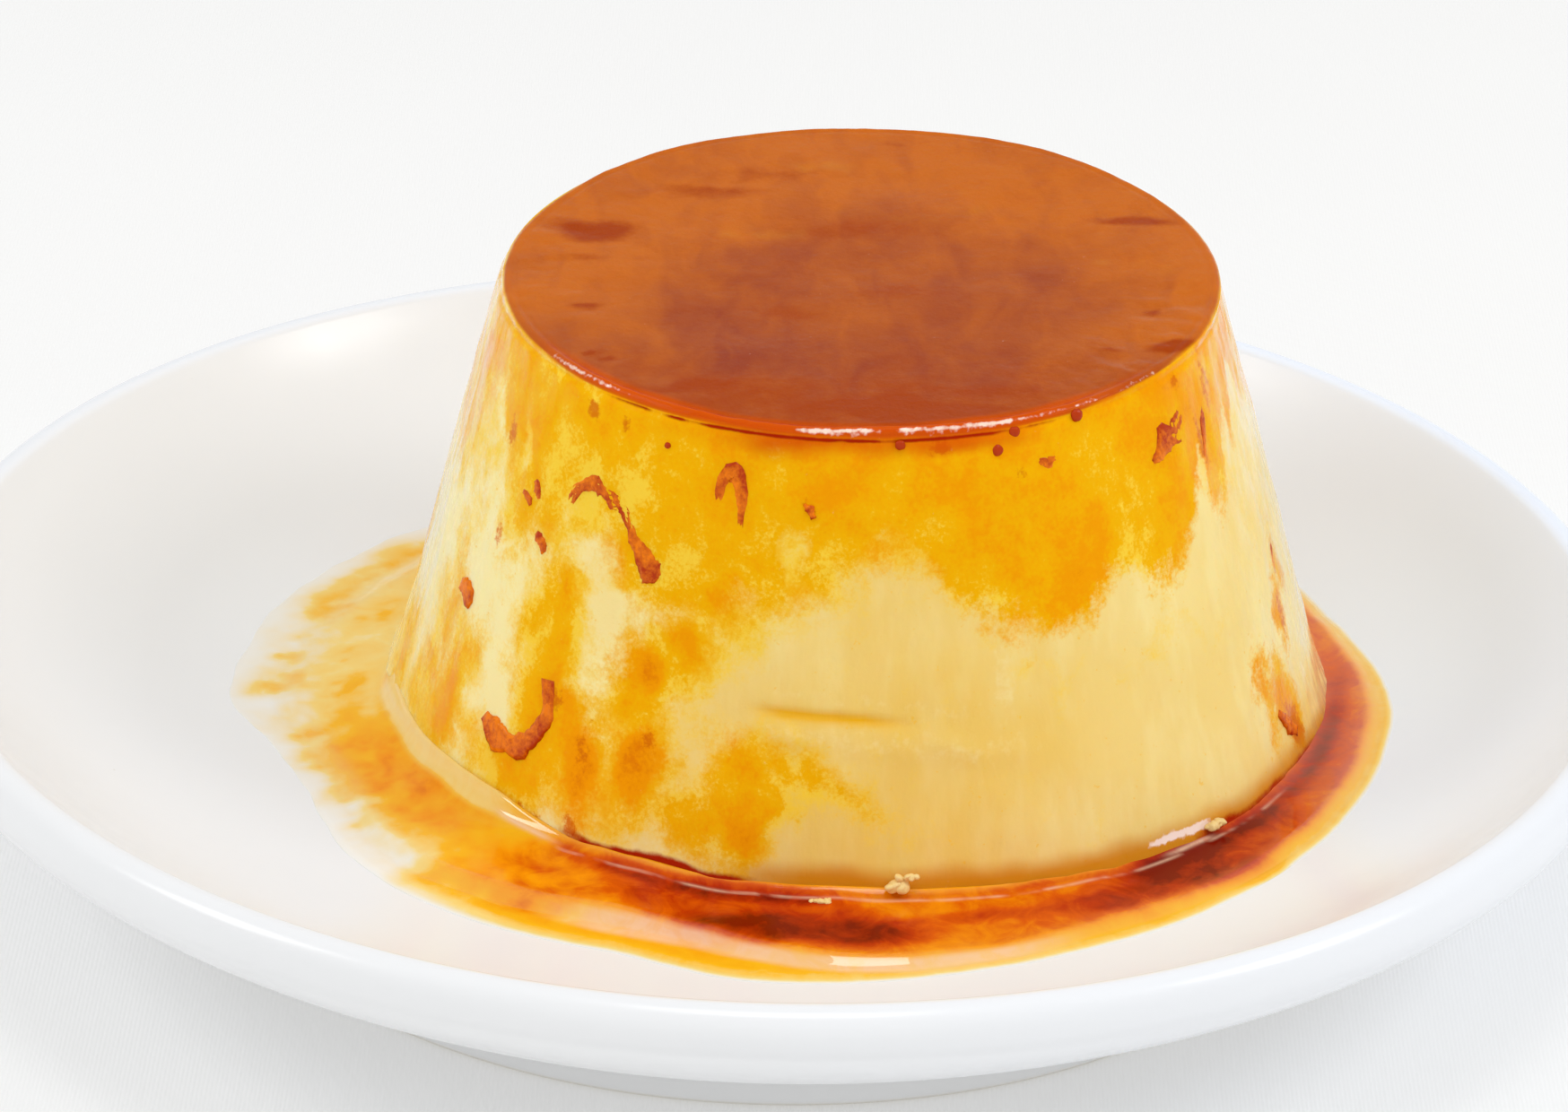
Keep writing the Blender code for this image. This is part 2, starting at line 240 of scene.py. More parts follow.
# Places round the flan, each by the angles where it rises, is full, falls and is gone, and its strength:
# where a painted highlight glints on the rim, where a dark red line of painted shade runs along the foot, and
# where painted shade darkens the pool by the foot.
RIM_GLINTS = ((-104, -96, -70, -60, 1.0), (-72, -62, -40, -28, 0.55), (-152, -144, -134, -126, 0.8))
FOOT_SHADE_LINES = ((-132, -121, -106, -98, 1.0), (-52, -40, -8, 8, 0.8))
POOL_FOOT_SHADES = ((-132, -121, -98, -88, 1.0), (-66, -52, -10, 4, 0.9))

# Finishing colours.
GLAZE_SHADE = (0.87, 0.875, 0.88)
# Painted light: a cool tint on the glaze near the flan, to take away the warm light that the caramel bounces
# onto it.
BOUNCE_CANCEL_TINT = (1.0, 1.07, 1.20)
SPECK_GREY = (0.55, 0.52, 0.46)
PALE_BISQUE = (0.80, 0.78, 0.72)
FLECK_GOLD = (0.95, 0.54, 0.02)
TORN_CREAM = (0.97, 0.77, 0.34)
TEAR_AMBER = (0.88, 0.45, 0.008)
FOOT_AMBER = (0.70, 0.25, 0.002)
BURNT_ORANGE = (0.80, 0.215, 0.001)
RIM_RED = (0.70, 0.090, 0.001)
LINE_RED = (0.44, 0.018, 0.001)
# Painted highlight on the rim's bead and at the foot.
GLINT_PINK = (0.98, 0.72, 0.60)
SMUDGE_BROWN = (0.37, 0.050, 0.002)
BARE_PORCELAIN = (0.87, 0.87, 0.85)
CARAMEL_RED = (0.68, 0.095, 0.001)
# Painted sheen of reflected light on the pool.
PAINTED_SHEEN_PINK = (0.93, 0.62, 0.42)
SKIN_AMBER = (0.90, 0.22, 0.002)
SKIN_RED = (0.47, 0.038, 0.001)
CRUMB_GOLD = (0.86, 0.58, 0.18)
CRUMB_CREAM = (0.93, 0.71, 0.32)
PALE_CLOTH = (0.70, 0.70, 0.695)


def colour_property(name, description, default):
    """A colour that a user can change."""
    return FloatVectorProperty(
        name=name, description=description, subtype="COLOR", size=3, min=0.0, max=1.0, default=default
    )


def length_property(name, description, default):
    """A length that a user can change, in metres."""
    return FloatProperty(
        name=name, description=description, subtype="DISTANCE", unit="LENGTH", default=default, precision=5
    )


def strength_property(name, description, default):
    """A strength or a power that a user can change."""
    return FloatProperty(name=name, description=description, default=default, min=0.0)


class PlateSettings(bpy.types.PropertyGroup):
    """The plate's sizes and colours."""

    rim_radius: length_property("Rim radius", "Outer radius of the plate", PLATE_HIGH[0])
    lip_radius: length_property("Lip radius", "Where the bowl of the plate ends", 68.7 * MM)
    lip_height: length_property("Lip height", "Height of the lip's inner edge", 21.9 * MM)
    well_height: length_property("Well height", "Height of the middle of the plate", 7.3 * MM)
    sweep_power: FloatProperty(
        name="Sweep", description="How late the floor turns up into the rim", default=5.5, min=2.0, max=9.0
    )
    foot_radius: length_property("Foot radius", "Outer radius of the foot ring", 46.4 * MM)
    foot_width: length_property("Foot width", "Width of the foot ring", 3.2 * MM)
    foot_height: length_property("Foot height", "Height of the foot ring", 3.1 * MM)
    glaze: colour_property("Glaze", "Colour of the glazed porcelain", (0.86, 0.865, 0.87))
    bisque: colour_property("Bisque", "Colour of the bare ring that the plate stands on", (0.72, 0.69, 0.62))


class FlanSettings(bpy.types.PropertyGroup):
    """The flan's place, sizes and colours."""

    middle_x: length_property("Middle X", "Where the flan stands, across the plate", 7.3 * MM)
    middle_y: length_property("Middle Y", "Where the flan stands, along the plate", 11.5 * MM)
    foot_level: length_property("Foot level", "Height of the flan's foot", 9.1 * MM)
    lean_forward: FloatProperty(
        name="Lean forward", description="Lean towards the front", subtype="ANGLE", default=0.041
    )
    lip: length_property("Lip", "Rounding of the cap's edge", 0.7 * MM)
    lean_left: FloatProperty(name="Lean left", description="Lean to the left", subtype="ANGLE", default=0.022)
    height: length_property("Height", "Height of the flan along its axis", 38.45 * MM)
    top_radius: length_property("Top radius", "Radius of the flan's top", 29.8 * MM)
    foot_radius: length_property("Foot radius", "Radius of the flan at its foot", 40.0 * MM)
    flare: length_property("Flare", "How far the foot spreads", 0.7 * MM)
    cream: colour_property("Cream", "Bare custard", (0.90, 0.61, 0.145))
    pale_cream: colour_property("Pale cream", "Lightest custard", (1.0, 0.86, 0.42))
    yellow: colour_property("Yellow", "Custard round the stains", (0.98, 0.64, 0.05))
    gold: colour_property("Gold", "Custard that has taken up a little caramel", (0.93, 0.47, 0.001))
    amber: colour_property("Amber", "Custard soaked with caramel", (0.93, 0.355, 0.0005))
    rust: colour_property("Rust", "Dark caramel marks", (0.68, 0.135, 0.002))
    cap_light: colour_property("Cap light", "Lightest part of the top", (0.57, 0.136, 0.011))
    cap_dark: colour_property("Cap dark", "Reddest part of the top", (0.31, 0.052, 0.018))


class CaramelSettings(bpy.types.PropertyGroup):
    """The pool's depths and the caramel's colours."""

    level: length_property("Level", "Height of the pool's level part", 9.1 * MM)
    film: length_property("Film", "Depth of the film where the plate rises", 0.9 * MM)
    climb: length_property("Climb", "How far the pool climbs the flan's foot", 1.8 * MM)
    thin: colour_property("Thin", "Caramel in a very thin film", (0.91, 0.68, 0.22))
    yellow: colour_property("Yellow", "Caramel in a thin film", (0.93, 0.49, 0.012))
    medium: colour_property("Medium", "Caramel half a millimetre deep", (0.90, 0.31, 0.002))
    deep: colour_property("Deep", "Caramel a millimetre deep", (0.47, 0.028, 0.001))
    darkest: colour_property("Darkest", "Caramel at its deepest", (0.20, 0.006, 0.001))


class StageSettings(bpy.types.PropertyGroup):
    """The camera, the lights and the table."""

    distance: length_property("Distance", "From the camera to the point that it looks at", 0.5867)
    elevation: FloatProperty(
        name="Elevation", description="Camera's angle above the table", subtype="ANGLE", default=0.443
    )
    roll: FloatProperty(name="Roll", description="Camera's roll", subtype="ANGLE", default=0.033)
    lens: FloatProperty(name="Lens", description="Focal length", unit="CAMERA", default=145.3, min=20.0)
    world: strength_property("World", "Strength of the light from all round", 0.64)
    horizon: strength_property("Horizon", "Extra light from low down", 0.15)
    key: strength_property("Key", "Power of the light overhead, in watts", 0.85)
    left: strength_property("Left", "Power of the light on the left, in watts", 1.2)
    right: strength_property("Right", "Power of the light on the right, in watts", 1.6)
    front: strength_property("Front", "Power of the light in front, in watts", 0.5)
    cloth: colour_property("Cloth", "Colour of the table", (0.68, 0.68, 0.675))
    cloth_glow: strength_property("Cloth glow", "Light let through by the table", 0.25)


# Shapes


def cloud(points, scale, seed=0, octaves=3):
    """Smooth random values from about -1 to 1 at points, one bump per scale, finer at each octave."""
    total = np.zeros(len(points))
    weight, weights = 1.0, 0.0
    for octave in range(octaves):
        place = points / scale * 2.0**octave + 17.3 * (seed + 1) + 5.1 * octave
        cell = np.floor(place).astype(np.int64)
        part = place - cell
        part = part * part * part * (part * (part * 6.0 - 15.0) + 10.0)
        value = np.zeros(len(points))
        for corner in np.ndindex(2, 2, 2):
            at = cell + np.array(corner)
            mixed = at[:, 0] * 374761393 + at[:, 1] * 668265263 + at[:, 2] * 2147483647 + seed * 1442695041
            mixed = mixed & 0xFFFFFFFF
            mixed = ((mixed ^ (mixed >> 13)) * 1274126177) & 0xFFFFFFFF
            mixed = mixed ^ (mixed >> 16)
            share = np.prod(np.where(np.array(corner) == 1, part, 1.0 - part), axis=1)
            value += share * (mixed % 65536) / 65535.0
        total += weight * (value * 2.0 - 1.0)
        weights += weight
        weight *= 0.5
    return total / weights * 1.6


def smooth_step(low, high, value):
    """A share that rises smoothly from 0 at low to 1 at high."""
    share = np.clip((value - low) / (high - low), 0.0, 1.0)
    return share * share * (3.0 - 2.0 * share)


def span(value, rises, full, falls, gone):
    """A share that rises from 0 to 1 between the first two values and falls to 0 between the last two."""
    return smooth_step(rises, full, value) * (1.0 - smooth_step(falls, gone, value))


def spans(angles, stretches):
    """The spans of a list of places round the flan, each times its strength, added up."""
    return sum(strength * span(angles, *ends) for *ends, strength in stretches)


def ridge(value, middle, width, power=2):
    """A share that is 1 at the middle and fades away on both sides, faster at the edge for a higher power."""
    return np.exp(-(((value - middle) / width) ** power))


def towards(angles, direction, low, high):
    """A share that rises as the angles turn to a direction: 0 at the cosine low, 1 at the cosine high."""
    return smooth_step(low, high, np.cos(np.radians(angles - direction)))


def cap_front(angles):
    """1 at the front of the cap's edge, 0 at its sides and -1 at the back."""
    return np.cos(np.radians(angles - FRONT + 6.0))


def around(angles, points):
    """Smooth closed curve through (angle, value) points, read at angles in degrees."""
    count = len(points)
    known = np.array([point[0] for point in points], dtype=float)
    values = np.array([point[1] for point in points], dtype=float)
    turned = (np.asarray(angles) - known[0]) % 360.0
    starts = (known - known[0]) % 360.0
    index = np.searchsorted(starts, turned, side="right") - 1
    following = (index + 1) % count
    gap = np.where(following == 0, 360.0 - starts[index], starts[following] - starts[index])
    share = (turned - starts[index]) / gap
    before, after = values[(index - 1) % count], values[(following + 1) % count]
    first, second = values[index], values[following]
    slope_a, slope_b = 0.5 * (second - before), 0.5 * (after - first)
    square, cube = share**2, share**3
    return (
        (2 * cube - 3 * square + 1) * first
        + (cube - 2 * square + share) * slope_a
        + (3 * square - 2 * cube) * second
        + (cube - square) * slope_b
    )


def oval(angles, heights, mark):
    """How deep inside an oval mark on the wall each point lies, in mm; negative outside."""
    middle, height, half_width, half_height, turn = mark
    across = ((angles - middle + 180.0) % 360.0 - 180.0) * math.pi / 180.0 * WALL_RADIUS
    return inside_oval(across, heights - height, half_width, half_height, turn) * min(half_width, half_height)


def inside_oval(x, y, half_length, half_width, turn):
    """1 in the middle of an oval, 0 at its outline and negative outside, at x and y from its middle."""
    cosine, sine = math.cos(math.radians(turn)), math.sin(math.radians(turn))
    along, over = x * cosine + y * sine, y * cosine - x * sine
    return 1.0 - np.hypot(along / half_length, over / half_width)


def show(name, mesh):
    """Put a finished mesh in the scene as a smooth object."""
    mesh.shade_smooth()
    item = bpy.data.objects.new(name, mesh)
    bpy.context.scene.collection.objects.link(item)
    return item


def mesh_from(name, verts, faces):
    """A mesh of points in metres and faces."""
    mesh = bpy.data.meshes.new(name)
    mesh.from_pydata(verts, [], faces)
    mesh.validate()
    return mesh


def ring_faces(row, next_row, steps):
    """The four-sided faces between two rings of points."""
    ring = np.arange(steps)
    after = (ring + 1) % steps
    upper, lower = row * steps, next_row * steps
    return np.stack([upper + ring, lower + ring, lower + after, upper + after], axis=1).tolist()


def ring_mesh(name, rings, start_pole, end_pole):
    """A closed mesh from rings of points, each ring running round anticlockwise, with a pole at each end."""
    count, steps = rings.shape[:2]
    verts = np.concatenate([rings.reshape(-1, 3), [start_pole, end_pole]])
    faces = []
    for row in range(count - 1):
        faces += ring_faces(row, row + 1, steps)
    first_pole, last_pole = count * steps, count * steps + 1
    last = (count - 1) * steps
    ring = np.arange(steps)
    after = (ring + 1) % steps
    faces += [(first_pole, int(a), int(b)) for a, b in zip(ring, after)]
    faces += [(last_pole, int(last + b), int(last + a)) for a, b in zip(ring, after)]
    return show(name, mesh_from(name, verts.tolist(), faces))


def tube_mesh(name, rings):
    """A closed mesh from rings of points joined last to first, like a bent tyre."""
    count, steps = rings.shape[:2]
    faces = []
    for row in range(count):
        faces += ring_faces(row, (row + 1) % count, steps)
    return show(name, mesh_from(name, rings.reshape(-1, 3).tolist(), faces))


def plain_mesh(name, verts, faces):
    """A closed mesh of points and faces, with the faces turned to look outwards."""
    mesh = mesh_from(name, verts.tolist(), faces)
    shape = bmesh.new()
    shape.from_mesh(mesh)
    bmesh.ops.recalc_face_normals(shape, faces=shape.faces)
    shape.to_mesh(mesh)
    shape.free()
    return show(name, mesh)


def strip_faces(base, rows, columns):
    """Faces of a closed strip whose outer and inner layers are grids, one after the other."""
    layer = rows * columns
    faces = []
    for row in range(rows - 1):
        for column in range(columns - 1):
            a = base + row * columns + column
            corners = (a, a + 1, a + columns + 1, a + columns)
            faces.append(corners)
            faces.append(tuple(corner + layer for corner in reversed(corners)))
    border = [base + column for column in range(columns)]
    border += [base + row * columns + columns - 1 for row in range(1, rows)]
    border += [base + (rows - 1) * columns + column for column in range(columns - 2, -1, -1)]
    border += [base + row * columns for row in range(rows - 2, 0, -1)]
    for here, following in zip(border, border[1:] + border[:1]):
        faces.append((following, here, here + layer, following + layer))
    return faces


def paint(item, name, values):
    """Store one number for each vertex, for a material to read."""
    attribute = item.data.attributes.new(name, "FLOAT", "POINT")
    attribute.data.foreach_set("value", np.asarray(values, dtype=np.float32))


def arc(centre_x, centre_z, radius_x, radius_z, start, end, count):
    """Points along an arc of a section, from a start angle to an end angle in degrees."""
    angles = np.radians(np.linspace(start, end, count))
    return [(centre_x + radius_x * math.cos(a), centre_z + radius_z * math.sin(a)) for a in angles]


def bezier(corners, count):
    """Points along a cubic curve, without its ends."""
    share = np.arange(1, count + 1)[:, None] / (count + 1)
    start, first, second, end = (np.array(corner) for corner in corners)
    rest = 1.0 - share
    curve = rest**3 * start + 3 * rest**2 * share * first + 3 * rest * share**2 * second + share**3 * end
    return [tuple(point) for point in curve]


# Materials


def new_material(name):
    """A material with an empty node tree, its shader and its output."""
    material = bpy.data.materials.new(name)
    material.use_nodes = True
    tree = material.node_tree
    return material, tree, tree.nodes["Principled BSDF"]


def add_node(tree, kind, values=(), **settings):
    """A node with settings on it, and values or links for its named inputs."""
    node = tree.nodes.new(kind)
    for key, value in settings.items():
        setattr(node, key, value)
    for key, value in dict(values).items():
        connect(tree, value, node.inputs[key])
    return node


def connect(tree, value, socket):
    """Link a socket to the input, or store a plain value on it."""
    if isinstance(value, bpy.types.NodeSocket):
        tree.links.new(value, socket)
    elif socket.type == "RGBA" and len(value) == 3:
        socket.default_value = (*value, 1.0)
    else:
        socket.default_value = value


def dress(tree, shader, values):
    """Put values or links on the shader's named inputs."""
    for name, value in values.items():
        connect(tree, value, shader.inputs[name])


def math_node(tree, operation, first, second=0.0, third=0.0, clamp=False):
    """The result of a sum on values or links; the third value is for MULTIPLY_ADD."""
    node = add_node(tree, "ShaderNodeMath", {0: first, 1: second}, operation=operation, use_clamp=clamp)
    if operation == "MULTIPLY_ADD":
        connect(tree, third, node.inputs[2])
    return node.outputs[0]


def clamped(tree, value):
    """The value, held between 0 and 1."""
    return math_node(tree, "ADD", value, 0.0, clamp=True)


def map_range(tree, value, low, high, to_low=0.0, to_high=1.0):
    """The value, mapped smoothly from one range to another."""
    values = {"Value": value, "From Min": low, "From Max": high, "To Min": to_low, "To Max": to_high}
    return add_node(tree, "ShaderNodeMapRange", values, interpolation_type="SMOOTHSTEP").outputs["Result"]


def mix_colour(tree, share, first, second, blend="MIX"):
    """The first colour, mixed with a share of the second."""
    node = add_node(tree, "ShaderNodeMix", data_type="RGBA", blend_type=blend)
    connect(tree, share, node.inputs["Factor"])
    connect(tree, first, node.inputs[6])
    connect(tree, second, node.inputs[7])
    return node.outputs[2]


def attribute(tree, name):
    """What paint() stored on the vertices under this name."""
    return add_node(tree, "ShaderNodeAttribute", attribute_name=name).outputs["Fac"]


def place_mm(tree, stretch=(1.0, 1.0, 1.0)):
    """The point's place on the object in millimetres, stretched along each axis."""
    coordinates = add_node(tree, "ShaderNodeTexCoord").outputs["Object"]
    scale = tuple(1000.0 * factor for factor in stretch)
    return add_node(tree, "ShaderNodeMapping", {"Vector": coordinates, "Scale": scale}).outputs["Vector"]


def noise(tree, place, size, detail=3.0, roughness=0.55, distortion=0.0):
    """Noise from 0 to 1 whose bumps are about size millimetres wide."""
    values = {"Vector": place, "Scale": 1.0 / size, "Detail": detail, "Roughness": roughness}
    values["Distortion"] = distortion
    return add_node(tree, "ShaderNodeTexNoise", values).outputs["Fac"]


def bump(tree, height, depth, under=None):
    """A bump whose height of 1 stands for depth in metres, laid over another bump if there is one."""
    node = add_node(tree, "ShaderNodeBump", {"Height": height, "Distance": depth, "Strength": 1.0})
    if under is not None:
        tree.links.new(under, node.inputs["Normal"])
    return node.outputs["Normal"]


def sway(tree, base, pattern, amount):
    """base, moved up and down by a noise pattern from 0 to 1."""
    return math_node(tree, "MULTIPLY_ADD", math_node(tree, "SUBTRACT", pattern, 0.5), amount, base)


def porcelain_material(settings):
    """White glaze: faintly uneven in tone and gloss, orange-peel waves, a bare ring under the foot, and
    painted cooler near the flan.
    """
    material, tree, shader = new_material("white_porcelain")
    place = place_mm(tree)
    tone = noise(tree, place, 26.0, 2.0)
    speck = noise(tree, place, 0.9, 2.0, 0.5)
    grain = noise(tree, place, 0.5, 4.0, 0.7)
    glaze = mix_colour(tree, map_range(tree, tone, 0.3, 0.7), settings.glaze, GLAZE_SHADE)
    # Painted light: near the flan (the well share) the glaze is tinted cooler, to take away the warm light
    # that the caramel bounces onto it.
    bounce_cancelled = mix_colour(tree, 1.0, glaze, BOUNCE_CANCEL_TINT, "MULTIPLY")
    glaze = mix_colour(tree, attribute(tree, "well"), glaze, bounce_cancelled)
    specks = map_range(tree, speck, 0.80, 0.86)
    glaze = mix_colour(tree, math_node(tree, "MULTIPLY", specks, 0.35), glaze, SPECK_GREY)
    bare = attribute(tree, "bare")
    bisque = mix_colour(tree, grain, settings.bisque, PALE_BISQUE)
    gloss = map_range(tree, noise(tree, place, 9.0, 3.0), 0.3, 0.7, 0.19, 0.26)
    rough = add_node(tree, "ShaderNodeMix", {"Factor": bare, 2: gloss, 3: 0.75}, data_type="FLOAT")
    waves = bump(tree, noise(tree, place, 5.0, 1.0), 0.012 * MM)
    dress(tree, shader, {
        "Base Color": mix_colour(tree, bare, glaze, bisque),
        "Roughness": rough.outputs[0],
        "Normal": bump(tree, grain, 0.004 * MM, under=waves),
        "IOR": 1.5,
    })
    return material


def custard_material(settings):
    """Baked custard: cream, stained gold and amber by the caramel, with a caramel-brown cap; painted pink
    highlights on its rim, paler sides for glancing light, and painted shade along its foot.
    """
    material, tree, shader = new_material("custard_and_caramel_cap")
    place = place_mm(tree)
    upright = place_mm(tree, (1.0, 1.0, 0.22))
    patterns = {
        "grain": noise(tree, place, 0.34, 3.0, 0.7),
        "fine": noise(tree, place, 0.9, 4.0, 0.65),
        "mottle": noise(tree, place, 1.3, 4.0, 0.7),
        "patchy": noise(tree, place, 3.2, 4.0, 0.6, 0.4),
        "broad": noise(tree, place, 9.0, 2.0),
        "columns": noise(tree, upright, 3.0, 3.0, 0.55),
    }
    wall, cap = wall_colour(tree, settings, place, patterns), cap_colour(tree, settings, patterns)
    colour = mix_colour(tree, attribute(tree, "cap"), wall, cap)
    colour = mix_colour(tree, attribute(tree, "stain"), colour, RIM_RED)
    # Dark red lines beside the rim, and the line of painted shade along the foot.
    line = map_range(tree, sway(tree, attribute(tree, "line"), patterns["mottle"], 0.7), 0.2, 1.0)
    colour = mix_colour(tree, line, colour, LINE_RED)
    # Painted highlight: where lip is painted, the colour turns to a broken pale pink glint along the rim's
    # bead and in a streak at the foot.
    lip = sway(tree, attribute(tree, "lip"), noise(tree, place, 0.55, 2.0), 1.6)
    glint = map_range(tree, lip, 0.35, 1.0)
    damp = map_range(tree, patterns["fine"], 0.3, 0.7, 0.15, 0.25)
    sheen = math_node(tree, "MULTIPLY_ADD", attribute(tree, "gloss"), -0.12, damp)
    ripples = bump(tree, noise(tree, upright, 1.6, 3.0), 0.10 * MM)
    dress(tree, shader, {
        "Base Color": mix_colour(tree, glint, colour, GLINT_PINK),
        "Roughness": math_node(tree, "MAXIMUM", sheen, 0.07),
        "IOR": 1.33,
        "Specular IOR Level": 0.045,
        "Subsurface Weight": 0.22,
        "Subsurface Radius": (1.0, 0.55, 0.18),
        "Subsurface Scale": 2.5 * MM,
        "Coat Weight": math_node(tree, "MAXIMUM", wet_coat(tree), glint),
        "Coat Roughness": 0.12,
        "Coat IOR": 1.75,
        "Normal": bump(tree, noise(tree, place, 0.5, 4.0, 0.7), 0.035 * MM, under=ripples),
    })
    return material


def wall_colour(tree, settings, place, patterns):
    """The wall's colour: custard bare or stained, the tear, the rust marks and the caramel on its foot."""
    cream = bare_custard(tree, settings, place, patterns)
    stain = stain_colour(tree, settings, place, patterns)
    wall = mix_colour(tree, stained_share(tree, patterns), cream, stain)
    wall = mix_colour(tree, attribute(tree, "crack"), wall, TEAR_AMBER)
    marks = sway(tree, sway(tree, attribute(tree, "rust"), patterns["fine"], 1.8), patterns["grain"], 1.0)
    wall = mix_colour(tree, map_range(tree, marks, -0.15, 0.45, 0.0, 0.8), wall, settings.rust)
    return mix_colour(tree, attribute(tree, "foot"), wall, FOOT_AMBER)


def bare_custard(tree, settings, place, patterns):
    """The colour of custard that no caramel has reached, yellower round the stains and where it is torn, and
    painted paler in streaks and on its sides for the glancing light there.
    """
    # Painted light: faint pale vertical streaks, added to the paler sides, for streaks of glancing
    # reflection.
    streaks = map_range(tree, patterns["columns"], 0.42, 0.70, 0.0, 0.20)
    pale = math_node(tree, "ADD", attribute(tree, "pale"), streaks)
    cream = mix_colour(tree, clamped(tree, pale), settings.cream, settings.pale_cream)
    halo = sway(tree, sway(tree, attribute(tree, "halo"), patterns["patchy"], 1.6), patterns["grain"], 0.6)
    cream = mix_colour(tree, map_range(tree, halo, 0.15, 0.95), cream, settings.yellow)
    flecks = map_range(tree, noise(tree, place, 0.8, 2.0, 0.8), 0.66, 0.76, 0.0, 0.5)
    cream = mix_colour(tree, flecks, cream, FLECK_GOLD)
    torn = sway(tree, attribute(tree, "torn"), patterns["fine"], 1.6)
    return mix_colour(tree, map_range(tree, torn, 0.25, 0.9, 0.0, 0.6), cream, TORN_CREAM)


def stained_share(tree, patterns):
    """Where the wall is stained, with a grainy edge that is softer where "soft" is high."""
    edge = sway(tree, sway(tree, attribute(tree, "amber"), patterns["fine"], 4.2), patterns["grain"], 3.0)
    edge = sway(tree, edge, patterns["patchy"], 5.0)
    soft = attribute(tree, "soft")
    low = math_node(tree, "MULTIPLY_ADD", soft, -2.2, -1.0)
    high = math_node(tree, "MULTIPLY_ADD", soft, 0.3, 1.1)
    return map_range(tree, edge, low, high)


def stain_colour(tree, settings, place, patterns):
    """The colour of stained custard, from yellow to burnt orange as the caramel goes deeper."""
    clouds = sway(tree, 0.0, noise(tree, place, 6.0, 4.0, 0.6, 0.3), 3.4)
    soaked = sway(tree, attribute(tree, "deep"), patterns["patchy"], 1.6)
    soaked = sway(tree, soaked, patterns["columns"], 0.9)
    soaked = math_node(tree, "ADD", sway(tree, soaked, patterns["grain"], 1.5), clouds)
    stain = mix_colour(tree, map_range(tree, soaked, -0.55, 0.0), settings.yellow, settings.gold)
    stain = mix_colour(tree, map_range(tree, soaked, -0.05, 0.95), stain, settings.amber)
    return mix_colour(tree, map_range(tree, soaked, 1.0, 2.0), stain, BURNT_ORANGE)


def cap_colour(tree, settings, patterns):
    """The colour of the caramel cap, drifting from orange to red-brown, with dark smudges."""
    drift = noise(tree, place_mm(tree, (1.5, 0.65, 1.0)), 5.0, 3.0, 0.5, 0.8)
    dark = sway(tree, sway(tree, attribute(tree, "cap_dark"), drift, 0.9), patterns["mottle"], 0.2)
    dark = clamped(tree, sway(tree, dark, patterns["broad"], 0.5))
    cap = mix_colour(tree, dark, settings.cap_light, settings.cap_dark)
    smudge = sway(tree, attribute(tree, "smudge"), patterns["mottle"], 0.6)
    smudge = sway(tree, smudge, patterns["patchy"], 0.5)
    return mix_colour(tree, map_range(tree, smudge, 0.0, 1.0), cap, SMUDGE_BROWN)


def wet_coat(tree):
    """How much of a wet coat the custard wears: in streaks down its wall, and little on the cap."""
    facing = add_node(tree, "ShaderNodeLayerWeight", {"Blend": 0.5}).outputs["Facing"]
    glance = map_range(tree, facing, 0.36, 0.80)
    streaks = noise(tree, place_mm(tree, (1.0, 1.0, 0.10)), 1.1, 3.0)
    wet = math_node(tree, "MULTIPLY", glance, map_range(tree, streaks, 0.35, 0.62, 0.25, 1.0))
    cap = attribute(tree, "cap")
    wet = math_node(tree, "MULTIPLY", wet, math_node(tree, "SUBTRACT", 1.0, cap))
    return math_node(tree, "MULTIPLY_ADD", cap, 0.02, wet)


def caramel_material(settings):
    """Clear caramel over white porcelain, its colour running from straw to dark red-brown with depth, under a
    painted pink sheen of reflected light.
    """
    material, tree, shader = new_material("caramel_pool")
    place = place_mm(tree)
    swirls = noise(tree, place, 3.6, 4.0, 0.6, 1.6)
    wisps = noise(tree, place, 1.1, 4.0, 0.7, 0.8)
    depth = attribute(tree, "depth")
    stirred = sway(tree, depth, swirls, math_node(tree, "MULTIPLY", depth, 0.75))
    stirred = sway(tree, stirred, wisps, math_node(tree, "MULTIPLY", depth, 0.22))
    # Painted reflection: where sheen is painted, in patches, the colour turns a pale pink sheen.
    sheen_patches = map_range(tree, swirls, 0.3, 0.6, 0.55, 0.9)
    painted_sheen = math_node(tree, "MULTIPLY", attribute(tree, "sheen"), sheen_patches)
    dress(tree, shader, {
        "Base Color": mix_colour(tree, painted_sheen, caramel_ramp(tree, settings, stirred), PAINTED_SHEEN_PINK),
        "Roughness": map_range(tree, wisps, 0.3, 0.7, 0.03, 0.07),
        "IOR": 1.4,
        "Specular IOR Level": 0.15,
        "Coat Weight": attribute(tree, "shine"),
        "Coat Roughness": 0.03,
        "Coat IOR": 1.6,
        "Normal": bump(tree, noise(tree, place, 2.5, 2.0), 0.03 * MM),
    })
    return material


def caramel_ramp(tree, settings, depth):
    """The caramel's colour at each depth, from bare porcelain at 0 to the darkest caramel at 1."""
    ramp = add_node(tree, "ShaderNodeValToRGB", {"Fac": depth})
    stops = (
        (0.0, BARE_PORCELAIN), (0.06, settings.thin), (0.15, settings.yellow), (0.36, settings.medium),
        (0.56, CARAMEL_RED), (0.76, settings.deep), (1.0, settings.darkest),
    )
    elements = ramp.color_ramp.elements
    while len(elements) < len(stops):
        elements.new(0.5)
    for element, (position, colour) in zip(elements, stops):
        element.position = position
        element.color = (*colour, 1.0)
    return ramp.outputs["Color"]


